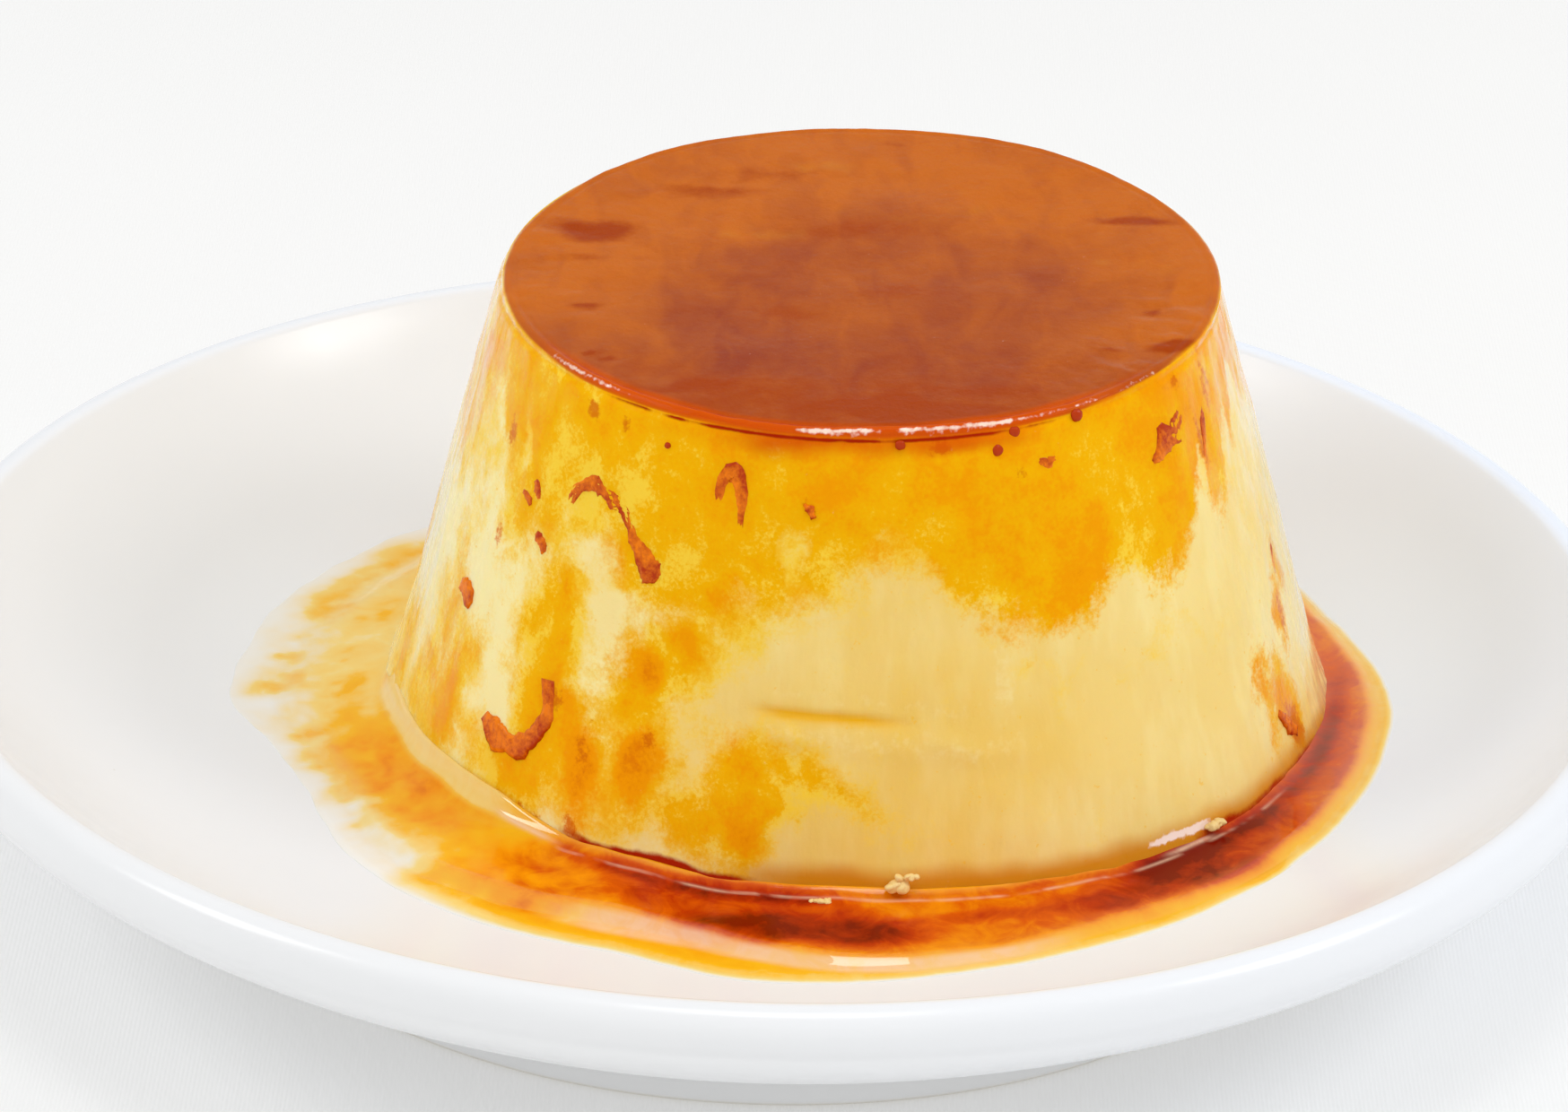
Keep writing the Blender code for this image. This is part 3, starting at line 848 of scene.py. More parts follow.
def skin_material():
    """Shreds of caramel skin: amber where thin, dark red along folds and edges."""
    material, tree, shader = new_material("caramel_skin")
    place = place_mm(tree)
    folds = noise(tree, place, 1.3, 3.0, 0.6, 0.8)
    specks = noise(tree, place, 0.5, 3.0, 0.7)
    dark = sway(tree, sway(tree, attribute(tree, "edge"), folds, 2.2), specks, 1.6)
    dress(tree, shader, {
        "Base Color": mix_colour(tree, clamped(tree, dark), SKIN_AMBER, SKIN_RED),
        "Roughness": map_range(tree, folds, 0.3, 0.7, 0.15, 0.25),
        "IOR": 1.4,
        "Specular IOR Level": 0.2,
        "Normal": bump(tree, folds, 0.08 * MM),
    })
    return material


def crumb_material():
    """Moist crumbs of custard, uneven in tone."""
    material, tree, shader = new_material("custard_crumbs")
    tone = noise(tree, place_mm(tree), 0.5, 3.0, 0.7)
    dress(tree, shader, {
        "Base Color": mix_colour(tree, tone, CRUMB_GOLD, CRUMB_CREAM),
        "Roughness": map_range(tree, tone, 0.3, 0.7, 0.3, 0.5),
        "Normal": bump(tree, tone, 0.05 * MM),
    })
    return material


def cloth_material(settings):
    """The pale table's woven cover, lit a little from below."""
    material, tree, shader = new_material("pale_table")
    place = place_mm(tree)
    tone = noise(tree, place, 60.0, 2.0)
    weave = add_node(tree, "ShaderNodeTexWave", {"Vector": place, "Scale": 0.9, "Distortion": 0.6})
    dress(tree, shader, {
        "Base Color": mix_colour(tree, tone, settings.cloth, PALE_CLOTH),
        "Emission Color": (1.0, 1.0, 0.99),
        "Emission Strength": settings.cloth_glow,
        "Roughness": 0.9,
        "Normal": bump(tree, weave.outputs["Fac"], 0.02 * MM),
    })
    return material


# Pieces


def plate_height(settings, radius):
    """Height of the plate's upper face: flat in the well, and rising ever faster towards the rim."""
    rise = settings.lip_height - settings.well_height
    return settings.well_height + rise * (radius / settings.lip_radius) ** settings.sweep_power


def plate_profile(settings):
    """The plate's section: over the well and the rim, down the outside, and in under the foot."""
    lip, rim = settings.lip_radius, settings.rim_radius
    profile = []
    for share in np.linspace(0.0, 1.0, 44)[1:]:
        radius = lip * share**0.6
        profile.append((radius, plate_height(settings, radius)))
    rim_height = settings.lip_height - 2.9 * MM
    crest = (
        (lip + 0.7 * MM, settings.lip_height + 0.9 * MM),
        (rim + 0.1 * MM, settings.lip_height + 0.6 * MM),
    )
    profile += bezier((profile[-1], *crest, (rim, rim_height)), 14)
    profile.append((rim, rim_height))
    foot_top = (settings.foot_radius + 0.5 * MM, settings.foot_height + 0.3 * MM)
    under = (
        (rim - 0.9 * MM, rim_height - 3.4 * MM),
        (settings.foot_radius + 8.5 * MM, foot_top[1] + 3.4 * MM),
    )
    profile += bezier(((rim, rim_height), *under, foot_top), 22)
    profile.append(foot_top)
    edge = 0.5 * MM
    inner = settings.foot_radius - settings.foot_width
    profile += arc(settings.foot_radius - edge, edge, edge, edge, 0, -90, 6)
    profile += arc(inner + edge, edge, edge, edge, -90, -180, 6)
    profile += arc(inner - edge, settings.foot_height - edge, edge, edge, 0, 90, 5)
    profile.append((inner * 0.7, settings.foot_height))
    profile.append((inner * 0.3, settings.foot_height))
    return profile


def make_plate(settings):
    """Make the plate by turning its section round its axis."""
    profile = np.array(plate_profile(settings))
    angles = np.radians(np.arange(PLATE_STEPS) * 360.0 / PLATE_STEPS)
    radii, heights = profile[:, 0][:, None], profile[:, 1][:, None]
    rings = np.stack(
        [radii * np.cos(angles), radii * np.sin(angles), heights * np.ones(PLATE_STEPS)], axis=-1
    )
    item = ring_mesh("porcelain_plate", rings, (0, 0, settings.well_height), (0, 0, settings.foot_height))
    x, y, z = np.array([vertex.co[:] for vertex in item.data.vertices]).T
    paint(item, "bare", 1.0 - smooth_step(0.15 * MM, 0.5 * MM, z))
    # Painted light: the share of cooler glaze, strongest near the flan, behind it and to its right, where the
    # caramel bounces the most warm light onto the plate.
    flan = bpy.context.scene.flan_body
    beyond = np.hypot(x - flan.middle_x, y - flan.middle_y) - flan.foot_radius
    near = (1.0 - smooth_step(14.0 * MM, 60.0 * MM, beyond)) * (z > settings.well_height - MM)
    behind = 0.5 + 0.5 * smooth_step(-35.0 * MM, 0.0, y)
    paint(item, "well", near * behind * (0.45 + 0.55 * smooth_step(-20.0 * MM, 35.0 * MM, x)))
    item.data.materials.append(porcelain_material(settings))
    return item


def flan_matrix(settings):
    """Stands the flan in its place on the plate, with its lean."""
    place = Matrix.Translation((settings.middle_x, settings.middle_y, settings.foot_level))
    return place @ Euler((settings.lean_forward, -settings.lean_left, 0.0)).to_matrix().to_4x4()


def wall_radius(settings, heights):
    """The flan's plain radius at heights above its foot, all in mm."""
    top, foot, height = settings.top_radius / MM, settings.foot_radius / MM, settings.height / MM
    flare = settings.flare / MM * np.exp(-np.clip(heights + 0.5, 0.0, None) / 1.1)
    return foot + (top - foot) * heights / height + flare


def crack_height(angles):
    """Height in mm of the tear across the front of the wall."""
    return 15.7 - 0.05 * (angles + 93.0) + 0.25 * np.sin(np.radians(angles * 11.0))


def wall_relief(angles, heights, points):
    """How far the wall stands out from a plain cone, in mm."""
    relief = 0.28 * cloud(points * np.array([1.0, 1.0, 0.7]), 14.0, 3, 2)
    relief += 0.05 * cloud(points, 2.6, 4, 3)
    relief += 0.05 * cloud(points * np.array([1.0, 1.0, 0.14]), 1.7, 5, 2)
    from_tear = heights - crack_height(angles)
    relief -= 0.18 * span(angles, -105.5, -101.0, -86.0, -80.0) * ridge(from_tear, 0.0, 0.34)
    flakes = np.clip(0.3 + cloud(points, 2.4, 6, 2), 0.0, 1.0)
    loose = span(angles, -105.0, -99.0, -76.0, -64.0) * ridge(from_tear, -1.7, 1.2)
    return relief + loose * (0.12 + 0.12 * flakes)


def cap_relief(points):
    """How far the top stands above its plane, in mm, from points in mm."""
    radius = np.hypot(points[:, 0], points[:, 1])
    angle = np.degrees(np.arctan2(points[:, 1], points[:, 0]))
    relief = 0.14 * cloud(points, 11.0, 8, 2) + 0.035 * cloud(points, 3.0, 9, 3)
    wrinkled = 0.10 + 0.35 * towards(angle, 168.0, 0.5, 0.95) + 0.9 * towards(angle, -27.0, 0.86, 0.97)
    folds = cloud(np.stack([angle * 0.30, radius * 0.35, radius * 0.0], axis=1), 1.0, 10, 2)
    relief += 0.16 * span(radius, 20.0, 27.0, 28.6, 29.4) * wrinkled * folds
    return relief - 0.25 * (1.0 - (radius / 30.0) ** 4)


def flan_rows(settings):
    """The flan's section as (radius, height) rows in mm, closest together round the rim."""
    top, height = settings.top_radius / MM, settings.height / MM
    slope = (settings.foot_radius - settings.top_radius) / settings.height
    edge = settings.lip / MM
    shoulder = top - edge * 0.8
    rows = [(radius, height) for radius in np.linspace(0.7, shoulder - 1.6, 42)]
    rows += [(radius, height) for radius in np.linspace(shoulder - 1.45, shoulder - 0.1, 10)]
    rows += arc(shoulder, height - edge, edge, edge, 90, math.degrees(math.atan(slope)), 13)
    start = rows[-1][1]
    near_rim, below = np.linspace(start - 0.12, start - 2.0, 16), np.linspace(start - 2.3, 0.0, 108)
    for level in (*near_rim, *below, -0.6, -1.2, -1.8):
        rows.append((float(wall_radius(settings, level)), level))
    return np.array(rows)


class FlanPlaces:
    """Where the flan's vertices lie, in mm and degrees, and the wavy shifts that bend what is drawn there."""

    def __init__(self, flan, angles, heights, radii, points):
        self.angles, self.heights, self.radii, self.points = angles, heights, radii, points
        self.top, self.rim = flan.height / MM, flan.top_radius / MM
        # The flan leans, so the front of its foot is sunk in the pool and the back stands clear of it
        turn = np.radians(angles)
        lean = flan.lean_forward * np.sin(turn) + flan.lean_left * np.cos(turn)
        self.above_pool = heights + lean * radii
        self.warp = 0.9 * cloud(points, 4.5, 20, 3)
        self.warp_across = 1.6 * cloud(points, 4.0, 21, 3)
        self.bent = (angles + self.warp_across, heights + self.warp)
        self.left = towards(angles, STAINED_SIDE, -0.35, 0.80)
        self.front = cap_front(angles)


def paint_custard(item, at):
    """Paint the stains, the tear, the cap and the wet places on the custard's vertices."""
    paint_stains(item, at)
    paint_tear(item, at)
    paint_foot_and_cap(item, at)
    paint_rim(item, at)


def paint_stains(item, at):
    """Paint where the caramel has soaked in, how softly its edge fades and how yellow it is round it."""
    patches = np.full(len(at.angles), -9.0)
    for mark in AMBER_PATCHES:
        patches = np.maximum(patches, oval(*at.bent, mark) * 2.0)
    amber = np.maximum(at.bent[1] - around(at.bent[0], AMBER_EDGE), patches)
    paint(item, "soft", 0.25 + 0.75 * at.left)
    halo = np.clip(1.0 + amber / (2.0 + 5.0 * at.left), 0.0, 1.0) * (0.38 + 0.42 * at.left)
    paint(item, "halo", halo + 0.20 * cloud(at.points, 7.0, 24, 2))
    for mark in PALE_WINDOWS:
        amber -= 5.0 * smooth_step(-0.3, 0.8, oval(*at.bent, mark))
    paint(item, "amber", amber)
    paint(item, "deep", soaked_depth(at, patches))
    # Painted light: the wall is painted paler towards its left-back and right-front sides, for the glancing
    # reflection and side light there.
    side = towards(at.angles, 200.0, 0.45, 1.0) + 0.55 * towards(at.angles, -25.0, 0.55, 1.0)
    pale = 0.85 * side + 0.12 * at.left + 0.25 * cloud(at.points, 12.0, 22, 2)
    paint(item, "pale", np.clip(pale, 0.0, 1.0))
    rust = np.full(len(at.angles), -1.0)
    for mark in RUST_MARKS:
        rust = np.maximum(rust, oval(at.angles + 0.5 * at.warp_across, at.heights + 0.4 * at.warp, mark))
    paint(item, "rust", rust)


def soaked_depth(at, patches):
    """How deep the caramel has soaked in: deepest under the rim in front, and in patches."""
    under_rim = smooth_step(at.top - 9.0, at.top - 3.0, at.heights)
    deep = 0.20 - 0.35 * at.left + 0.34 * under_rim * at.front
    deep += 0.26 * smooth_step(0.0, 3.0, oval(at.angles, at.heights, AMBER_BAY))
    deep += 0.60 * smooth_step(0.0, 2.5, patches)
    deep += 0.30 * ridge(at.angles, FRONT, 16.0) * smooth_step(at.top - 15.0, at.top - 9.0, at.heights)
    for mark in DEEP_PATCHES:
        deep += 0.6 * smooth_step(-0.4, 0.8, oval(*at.bent, mark))
    return deep


def paint_tear(item, at):
    """Paint the tear across the front of the wall, and the rough custard laid bare round it."""
    from_tear = at.heights - crack_height(at.angles)
    paint(item, "crack", span(at.angles, -105.0, -99.0, -90.0, -81.0) * ridge(from_tear, -0.1, 0.48))
    loose = span(at.angles, -106.0, -100.0, -74.0, -60.0)
    torn = ridge(from_tear, -1.6, 1.5) + 0.7 * ridge(from_tear, 1.4, 0.8)
    pillar = 0.8 * smooth_step(0.0, 1.0, oval(at.angles, at.heights, BARE_PILLAR))
    paint(item, "torn", np.maximum(0.45 * loose * torn, 0.7 * pillar))


def paint_foot_and_cap(item, at):
    """Paint the caramel that clings to the foot, and where the cap lies, how dark it is and its smudges."""
    clings = span(at.angles, -112.0, -96.0, -12.0, 6.0)
    paint(item, "foot", 0.95 * clings * (1.0 - smooth_step(0.9, 2.9, at.above_pool + 0.5 * at.warp)))
    wide = 0.20 + 0.32 * smooth_step(0.25, 0.85, at.front)
    paint(item, "cap", smooth_step(-wide - 0.15, 0.15 - wide, at.heights - at.top + 0.10 * at.warp))
    paint(item, "cap_dark", cap_darkness(at.points))
    paint(item, "smudge", cap_smudge(at.points))


def paint_rim(item, at):
    """Paint the dark lines beside the rim, the line of painted shade at the foot, the stained rim, the
    painted glints on the rim and the foot, and where it is glossy.
    """
    heights, top, rim = at.heights, at.top, at.rim
    broken = 0.35 + 0.65 * smooth_step(-0.7, 0.2, cloud(at.points, 2.6, 23, 2))
    inner_line = ridge(at.radii, rim - 0.80, 0.24) * (heights > top - 0.4) * smooth_step(0.25, 0.85, at.front)
    outer_line = ridge(heights, top - 0.78, 0.17) * (at.radii > rim - 0.4) * smooth_step(0.70, 0.95, at.front)
    # Painted shade: a dark red line along the wall's foot, where it meets the pool.
    foot_shade_line = spans(at.angles, FOOT_SHADE_LINES)
    foot_shade_line = foot_shade_line * (1.0 - smooth_step(0.6, 1.5, at.above_pool + 0.4 * at.warp)) * (heights < 6.0)
    paint(item, "line", (0.75 * inner_line + 1.3 * outer_line) * broken + 1.2 * foot_shade_line)
    below = smooth_step(top - 2.7, top - 1.2, heights + 0.5 * at.warp) * (heights < top - 0.6)
    inside = smooth_step(rim - 1.9, rim - 0.7, at.radii + 0.3 * at.warp) * (heights > top - 0.6)
    on_bead = 0.75 * inside * smooth_step(0.45, 0.85, at.front)
    paint(item, "stain", np.clip(around(at.angles, RIM_STAIN), 0.0, 1.0) * below + on_bead)
    # Painted highlights, stored as lip: the bead's broken glint and the glint streak at the foot.
    bead = ridge(at.radii, rim - 0.14, 0.17) * (heights > top - 0.7)
    foot_glint = 1.7 * span(at.angles, -55.0, -50.0, -45.0, -40.0) * ridge(at.above_pool, 1.3, 0.30)
    lip = 0.95 * bead * np.clip(spans(at.angles, RIM_GLINTS), 0.0, 1.0) * broken
    paint(item, "lip", lip + foot_glint * (heights < 6.0))
    paint(item, "gloss", 0.5 * (heights > top - 1.4) + bead + 1.0 * (at.above_pool < 1.5))


def bent(points):
    """The points' x and y, pushed about so that what is drawn with them has a wavy outline."""
    return points[:, 0] + 1.6 * cloud(points, 5.0, 26, 2), points[:, 1] + 2.6 * cloud(points, 5.0, 27, 2)


def cap_darkness(points):
    """How dark the cap is: reddish brown in the middle and at the front, orange round it."""
    bent_x, bent_y = bent(points)
    middle = 1.0 - smooth_step(12.0, 24.0, np.hypot(bent_x - 2.5, (bent_y + 5.0) * 1.05))
    dark = 0.06 + 0.52 * middle + 0.36 * smooth_step(8.0, 24.0, -bent_y)
    dark += 0.26 * (1.0 - smooth_step(4.0, 17.0, np.hypot(bent_x + 16.0, bent_y + 13.0)))
    return dark


def cap_smudge(points):
    """How strongly dark smudges and the burnt front edge show in the cap."""
    x, y = points[:, 0], points[:, 1]
    bent_x, bent_y = bent(points)
    shown = 0.70 * smooth_step(11.0, 28.0, -bent_y)
    for smudge_x, smudge_y, length, width, strength in CAP_SMUDGES:
        away = np.hypot((bent_x - smudge_x) / length, (bent_y - smudge_y) / width)
        near = np.hypot((x - smudge_x) / length, (y - smudge_y) / width)
        shown += 2.2 * strength * (1.0 - smooth_step(0.2, 1.5, 0.4 * away + 0.6 * near))
    return shown


def make_custard(settings):
    """Make the flan: a leaning cone with a rolled rim, its relief and everything painted on it."""
    rows = flan_rows(settings)
    angles = np.tile(np.arange(FLAN_STEPS) * 360.0 / FLAN_STEPS - 180.0, (len(rows), 1)).ravel()
    radii, heights = np.repeat(rows[:, 0], FLAN_STEPS), np.repeat(rows[:, 1], FLAN_STEPS)
    turn = np.radians(angles)
    plain = np.stack([radii * np.cos(turn), radii * np.sin(turn), heights], axis=1)
    out, lift = flan_relief(settings, angles, heights, radii, plain)
    shaped = np.stack([(radii + out) * np.cos(turn), (radii + out) * np.sin(turn), heights + lift], axis=1)
    rings = (shaped * MM).reshape(len(rows), FLAN_STEPS, 3)
    bottom = rows[-1, 1]
    item = ring_mesh("custard_flan", rings, (0, 0, settings.height - 0.25 * MM), (0, 0, bottom * MM))
    poles = np.array([[0.0, 0.0, settings.height / MM], [0.0, 0.0, bottom]])
    paint_custard(item, FlanPlaces(
        settings,
        np.append(angles, [0.0, 0.0]),
        np.append(heights, poles[:, 2]),
        np.append(radii, [0.0, 0.0]),
        np.concatenate([plain, poles]),
    ))
    item.data.materials.append(custard_material(settings))
    item.data.transform(flan_matrix(settings))
    return item


def flan_relief(settings, angles, heights, radii, plain):
    """How far each point moves out and up from the plain cone, in mm, with a bead round the rim."""
    top, rim = settings.height / MM, settings.top_radius / MM
    on_cap = smooth_step(top - 1.0, top - 0.6, heights) * (radii < rim)
    thick = 0.35 + 0.65 * smooth_step(0.4, 0.95, cap_front(angles))
    bead = ridge(radii, rim - 0.38, 0.28) * (heights > top - 0.8)
    lift = cap_relief(plain) * on_cap + bead * thick * (0.10 + 0.08 * cloud(plain, 1.3, 12, 2))
    lift -= 0.12 * thick * ridge(radii, rim - 0.95, 0.22) * on_cap
    out = wall_relief(angles, heights, plain) * (1.0 - smooth_step(top - 1.5, top - 0.2, heights))
    out -= (0.12 + 0.06 * cloud(plain, 3.0, 13, 2)) * ridge(heights, top - 0.9, 0.24)
    return out, lift


def film_top(plate, caramel, radius):
    """Height of the caramel's surface: level, and rising with the plate further out."""
    raised = plate_height(plate, radius) + caramel.film
    return 0.5 * (caramel.level + raised + np.hypot(raised - caramel.level, 0.2 * MM))


class PoolGrid:
    """The places of the pool's surface in mm and degrees, ring by ring from the flan's foot outwards."""

    def __init__(self, flan):
        foot = flan.foot_radius / MM
        self.angles = np.arange(POOL_STEPS) * 360.0 / POOL_STEPS - 180.0
        turn = np.radians(self.angles)
        self.thin_side = towards(self.angles, THIN_SIDE, 0.45, 0.90)
        edge = np.stack([np.cos(turn) * 20.0, np.sin(turn) * 20.0, np.zeros(POOL_STEPS)], axis=1)
        ragged = (0.16 + 0.3 * self.thin_side) * cloud(edge, 2.2, 30, 3)
        inner, outer = foot - 0.6, foot + around(self.angles, POOL_REACH) + ragged
        # Rows closest together at the wall and at the outline
        share = np.linspace(0.0, 1.0, POOL_ROWS)[:, None]
        share = 0.5 * share + 0.5 * (0.5 - 0.5 * np.cos(math.pi * share))
        radii = inner + (outer - inner) * share
        self.x = flan.middle_x / MM + radii * np.cos(turn)
        self.y = flan.middle_y / MM + radii * np.sin(turn)
        self.inside, self.wall, self.from_start = outer - radii, radii - foot, radii - inner
        self.shoulder = around(self.angles, POOL_SHOULDER)
        self.tall = span(self.angles, -180.0, -172.0, -140.0, -124.0)
        self.swirl = self.cloud(6.0, 33, 2, 0.7 * self.x, 1.4 * self.y)
        self.wisp = self.cloud(1.8, 35, 3, self.x, self.y)
        drawn_x, drawn_y = 0.45 * (0.82 * self.x + 0.57 * self.y), 0.82 * self.y - 0.57 * self.x
        self.strokes = self.cloud(3.2, 34, 3, drawn_x, drawn_y)
        reach = 0.15 + 1.05 * self.tall
        self.near_wall = 1.0 - smooth_step(reach - 0.7, reach, self.wall + 0.15 * self.swirl)

    def cloud(self, scale, seed, octaves, x, y):
        """Smooth random values at x and y, laid out like the grid."""
        points = np.stack([x.ravel(), y.ravel(), np.zeros(x.size)], axis=1)
        return cloud(points, scale, seed, octaves).reshape(x.shape)


def make_pool(plate, flan, caramel):
    """Make the pool of caramel: a closed sheet that lies on the plate round the flan's foot."""
    grid = PoolGrid(flan)
    item = tube_mesh("caramel_pool", pool_rings(grid, plate, caramel))
    colour, sheen = pool_colour(grid), pool_sheen(grid)
    shine = np.clip(grid.near_wall + ridge(grid.inside - grid.shoulder, 0.0, 1.2), 0.0, 1.0)
    # The sheen is painted reflection, on the upper surface only.
    paint(item, "sheen", np.concatenate([sheen, 0.0 * sheen]).ravel())
    paint(item, "shine", np.concatenate([shine, 0.0 * shine]).ravel())
    paint(item, "depth", np.concatenate([colour, colour[::-1]]).ravel())
    item.data.materials.append(caramel_material(caramel))
    return item


def pool_rings(grid, plate, caramel):
    """Rings of points out over the pool's surface and back underneath it, in metres."""
    from_middle = np.hypot(grid.x, grid.y) * MM
    floor = plate_height(plate, from_middle) / MM
    full = film_top(plate, caramel, from_middle) / MM - floor
    margin = (0.30 - 0.24 * grid.thin_side) * smooth_step(0.0, 0.8, grid.inside)
    body = 0.70 * smooth_step(grid.shoulder - 0.9, grid.shoulder + 0.9, grid.inside)
    thinning = 1.0 - 0.72 * grid.thin_side * smooth_step(1.0, 7.0, grid.from_start)
    depth = full * (margin + body) * thinning
    climb = caramel.climb / MM * (0.35 + 0.65 * grid.tall)
    climb = climb * np.exp(-np.clip(grid.wall + 0.35, 0.0, None) / 0.70) * smooth_step(0.0, 1.0, grid.inside)
    waves = 0.10 * depth * grid.cloud(6.0, 32, 2, grid.x, grid.y) * smooth_step(0.5, 3.0, grid.inside)
    upper = np.stack([grid.x, grid.y, floor + 0.02 + depth + climb + waves], axis=-1)
    lower = np.stack([grid.x, grid.y, floor - 0.05], axis=-1)
    return np.concatenate([upper, lower[::-1]]) * MM


def pool_colour(grid):
    """How deep the caramel's colour is over the grid: 0 for bare porcelain, 1 for the darkest."""
    angles, inside, shoulder = grid.angles, grid.inside, grid.shoulder
    colour = 0.12 * smooth_step(0.0, 0.7, inside) + 0.09 * smooth_step(0.8, 2.2, inside)
    speckle = grid.cloud(2.4, 36, 3, grid.x, grid.y)
    colour += (0.05 * grid.swirl + 0.04 * speckle) * smooth_step(0.5, 3.0, inside)
    colour += 0.28 * smooth_step(shoulder - 0.1, shoulder + 1.2, inside)
    colour += 0.05 * towards(angles, -26.0, 0.75, 0.98) * smooth_step(0.8, 2.5, inside)
    for x, y, half_length, half_width, turn, strength in POOL_DARKS:
        within = inside_oval(grid.x - x, grid.y - y, half_length, half_width, turn)
        colour += strength * smooth_step(-0.7, 0.8, within + 0.35 * grid.swirl)
    # Painted shade: the pool darker next to the flan's foot.
    colour += 0.40 * spans(angles, POOL_FOOT_SHADES) * ridge(grid.wall, 1.2, 1.1)
    mottled = ridge(angles, -130.0, 16.0) * smooth_step(1.0, 3.0, inside)
    colour += mottled * (0.16 * grid.wisp + 0.16 * grid.strokes + 0.08)
    pale_side = towards(angles, THIN_SIDE, 0.25, 0.70)
    colour = np.clip(colour, 0.0, None) * (1.0 - pale_side) + film_colour(grid) * pale_side
    return colour * (1.0 - grid.near_wall) + (0.09 + 0.21 * (1.0 - grid.tall)) * grid.near_wall


def film_colour(grid):
    """The same for the thin film on the left, with golden strokes drawn out over it."""
    wisp, strokes = grid.wisp, grid.strokes
    fading = 1.0 - smooth_step(1.0, 9.0, grid.wall - 1.2 * strokes)
    golden = ridge(grid.angles, -150.0, 15.0) * (1.0 - smooth_step(4.0, 10.0, grid.wall - 1.5 * strokes))
    thin = 0.035 + 0.05 * fading + 0.03 * strokes + 0.28 * golden + (0.02 + 0.10 * golden) * wisp
    thin = np.clip(thin, 0.0, None) * smooth_step(-0.5, 4.5, grid.inside + 1.4 * strokes)
    return thin + 0.05 * smooth_step(0.35, 0.80, strokes + 0.3 * wisp) * smooth_step(1.0, 3.0, grid.inside)


def pool_sheen(grid):
    """Where a sheen of reflected light is painted on the pool: a band outside its thick part, a fine line by
    the wall, a veil on the right and two glints.
    """
    angles, wall, beyond = grid.angles, grid.wall, grid.shoulder - grid.inside
    broad = 1.1 * ridge(angles, -112.0, 9.0)
    band = 0.75 * span(beyond, -0.5, 0.0, 0.5 + broad, 1.5 + broad)
    band = band * span(angles, -122.0, -113.0, -76.0, -66.0)
    far_right = towards(angles, -4.0, 0.80, 0.98) * smooth_step(0.5, 1.5, grid.inside)
    band += 0.15 * far_right * (1.0 - grid.near_wall)
    brink = ridge(wall - 0.10 * grid.swirl, 0.75, 0.15) * smooth_step(-0.9, 0.2, grid.wisp)
    band += 0.65 * span(angles, -132.0, -122.0, -34.0, -26.0) * brink
    glints = ridge(angles, -132.0, 4.5, power=4) + ridge(angles, -47.0, 3.6, power=4)
    return band + 0.9 * glints * ridge(wall, 0.35, 0.22)


def wall_point(flan, angle, height, out):
    """The place in the flan's frame that lies out millimetres off the wall, given in mm and degrees."""
    radius = wall_radius(flan, np.asarray(height)) + out
    turn = np.radians(angle)
    return np.stack([radius * np.cos(turn), radius * np.sin(turn), height + 0.0 * radius], axis=-1)


def make_shreds(flan):
    """Make crumpled shreds of caramel skin, each a thin closed strip that clings to the wall."""
    chance = np.random.default_rng(7)
    verts, faces, edge_tone = [], [], []
    for course in SKIN_SHREDS:
        base = sum(len(layer) for layer in verts)
        outer, inner, tone = shred_layers(flan, np.array(course, dtype=float), chance)
        verts += [outer, inner]
        edge_tone += [tone, tone]
        faces += strip_faces(base, len(tone) // SHRED_COLUMNS, SHRED_COLUMNS)
    item = plain_mesh("caramel_skin", np.concatenate(verts) * MM, faces)
    paint(item, "edge", np.concatenate(edge_tone))
    item.data.transform(flan_matrix(flan))
    item.data.materials.append(skin_material())
    return item


def shred_rows(course):
    """Rows along a shred: its share of the way, angle, height and half width, the long courses smoothed."""
    rows = SHRED_ROWS * (len(course) - 1) + 1
    share = np.linspace(0, len(course) - 1, rows)
    angle, height, width = (np.interp(share, np.arange(len(course)), column) for column in course.T)
    if rows > 16:
        smooth = np.ones(5) / 5.0
        angle[2:-2] = np.convolve(angle, smooth, "valid")
        height[2:-2] = np.convolve(height, smooth, "valid")
    return share, angle, height, width


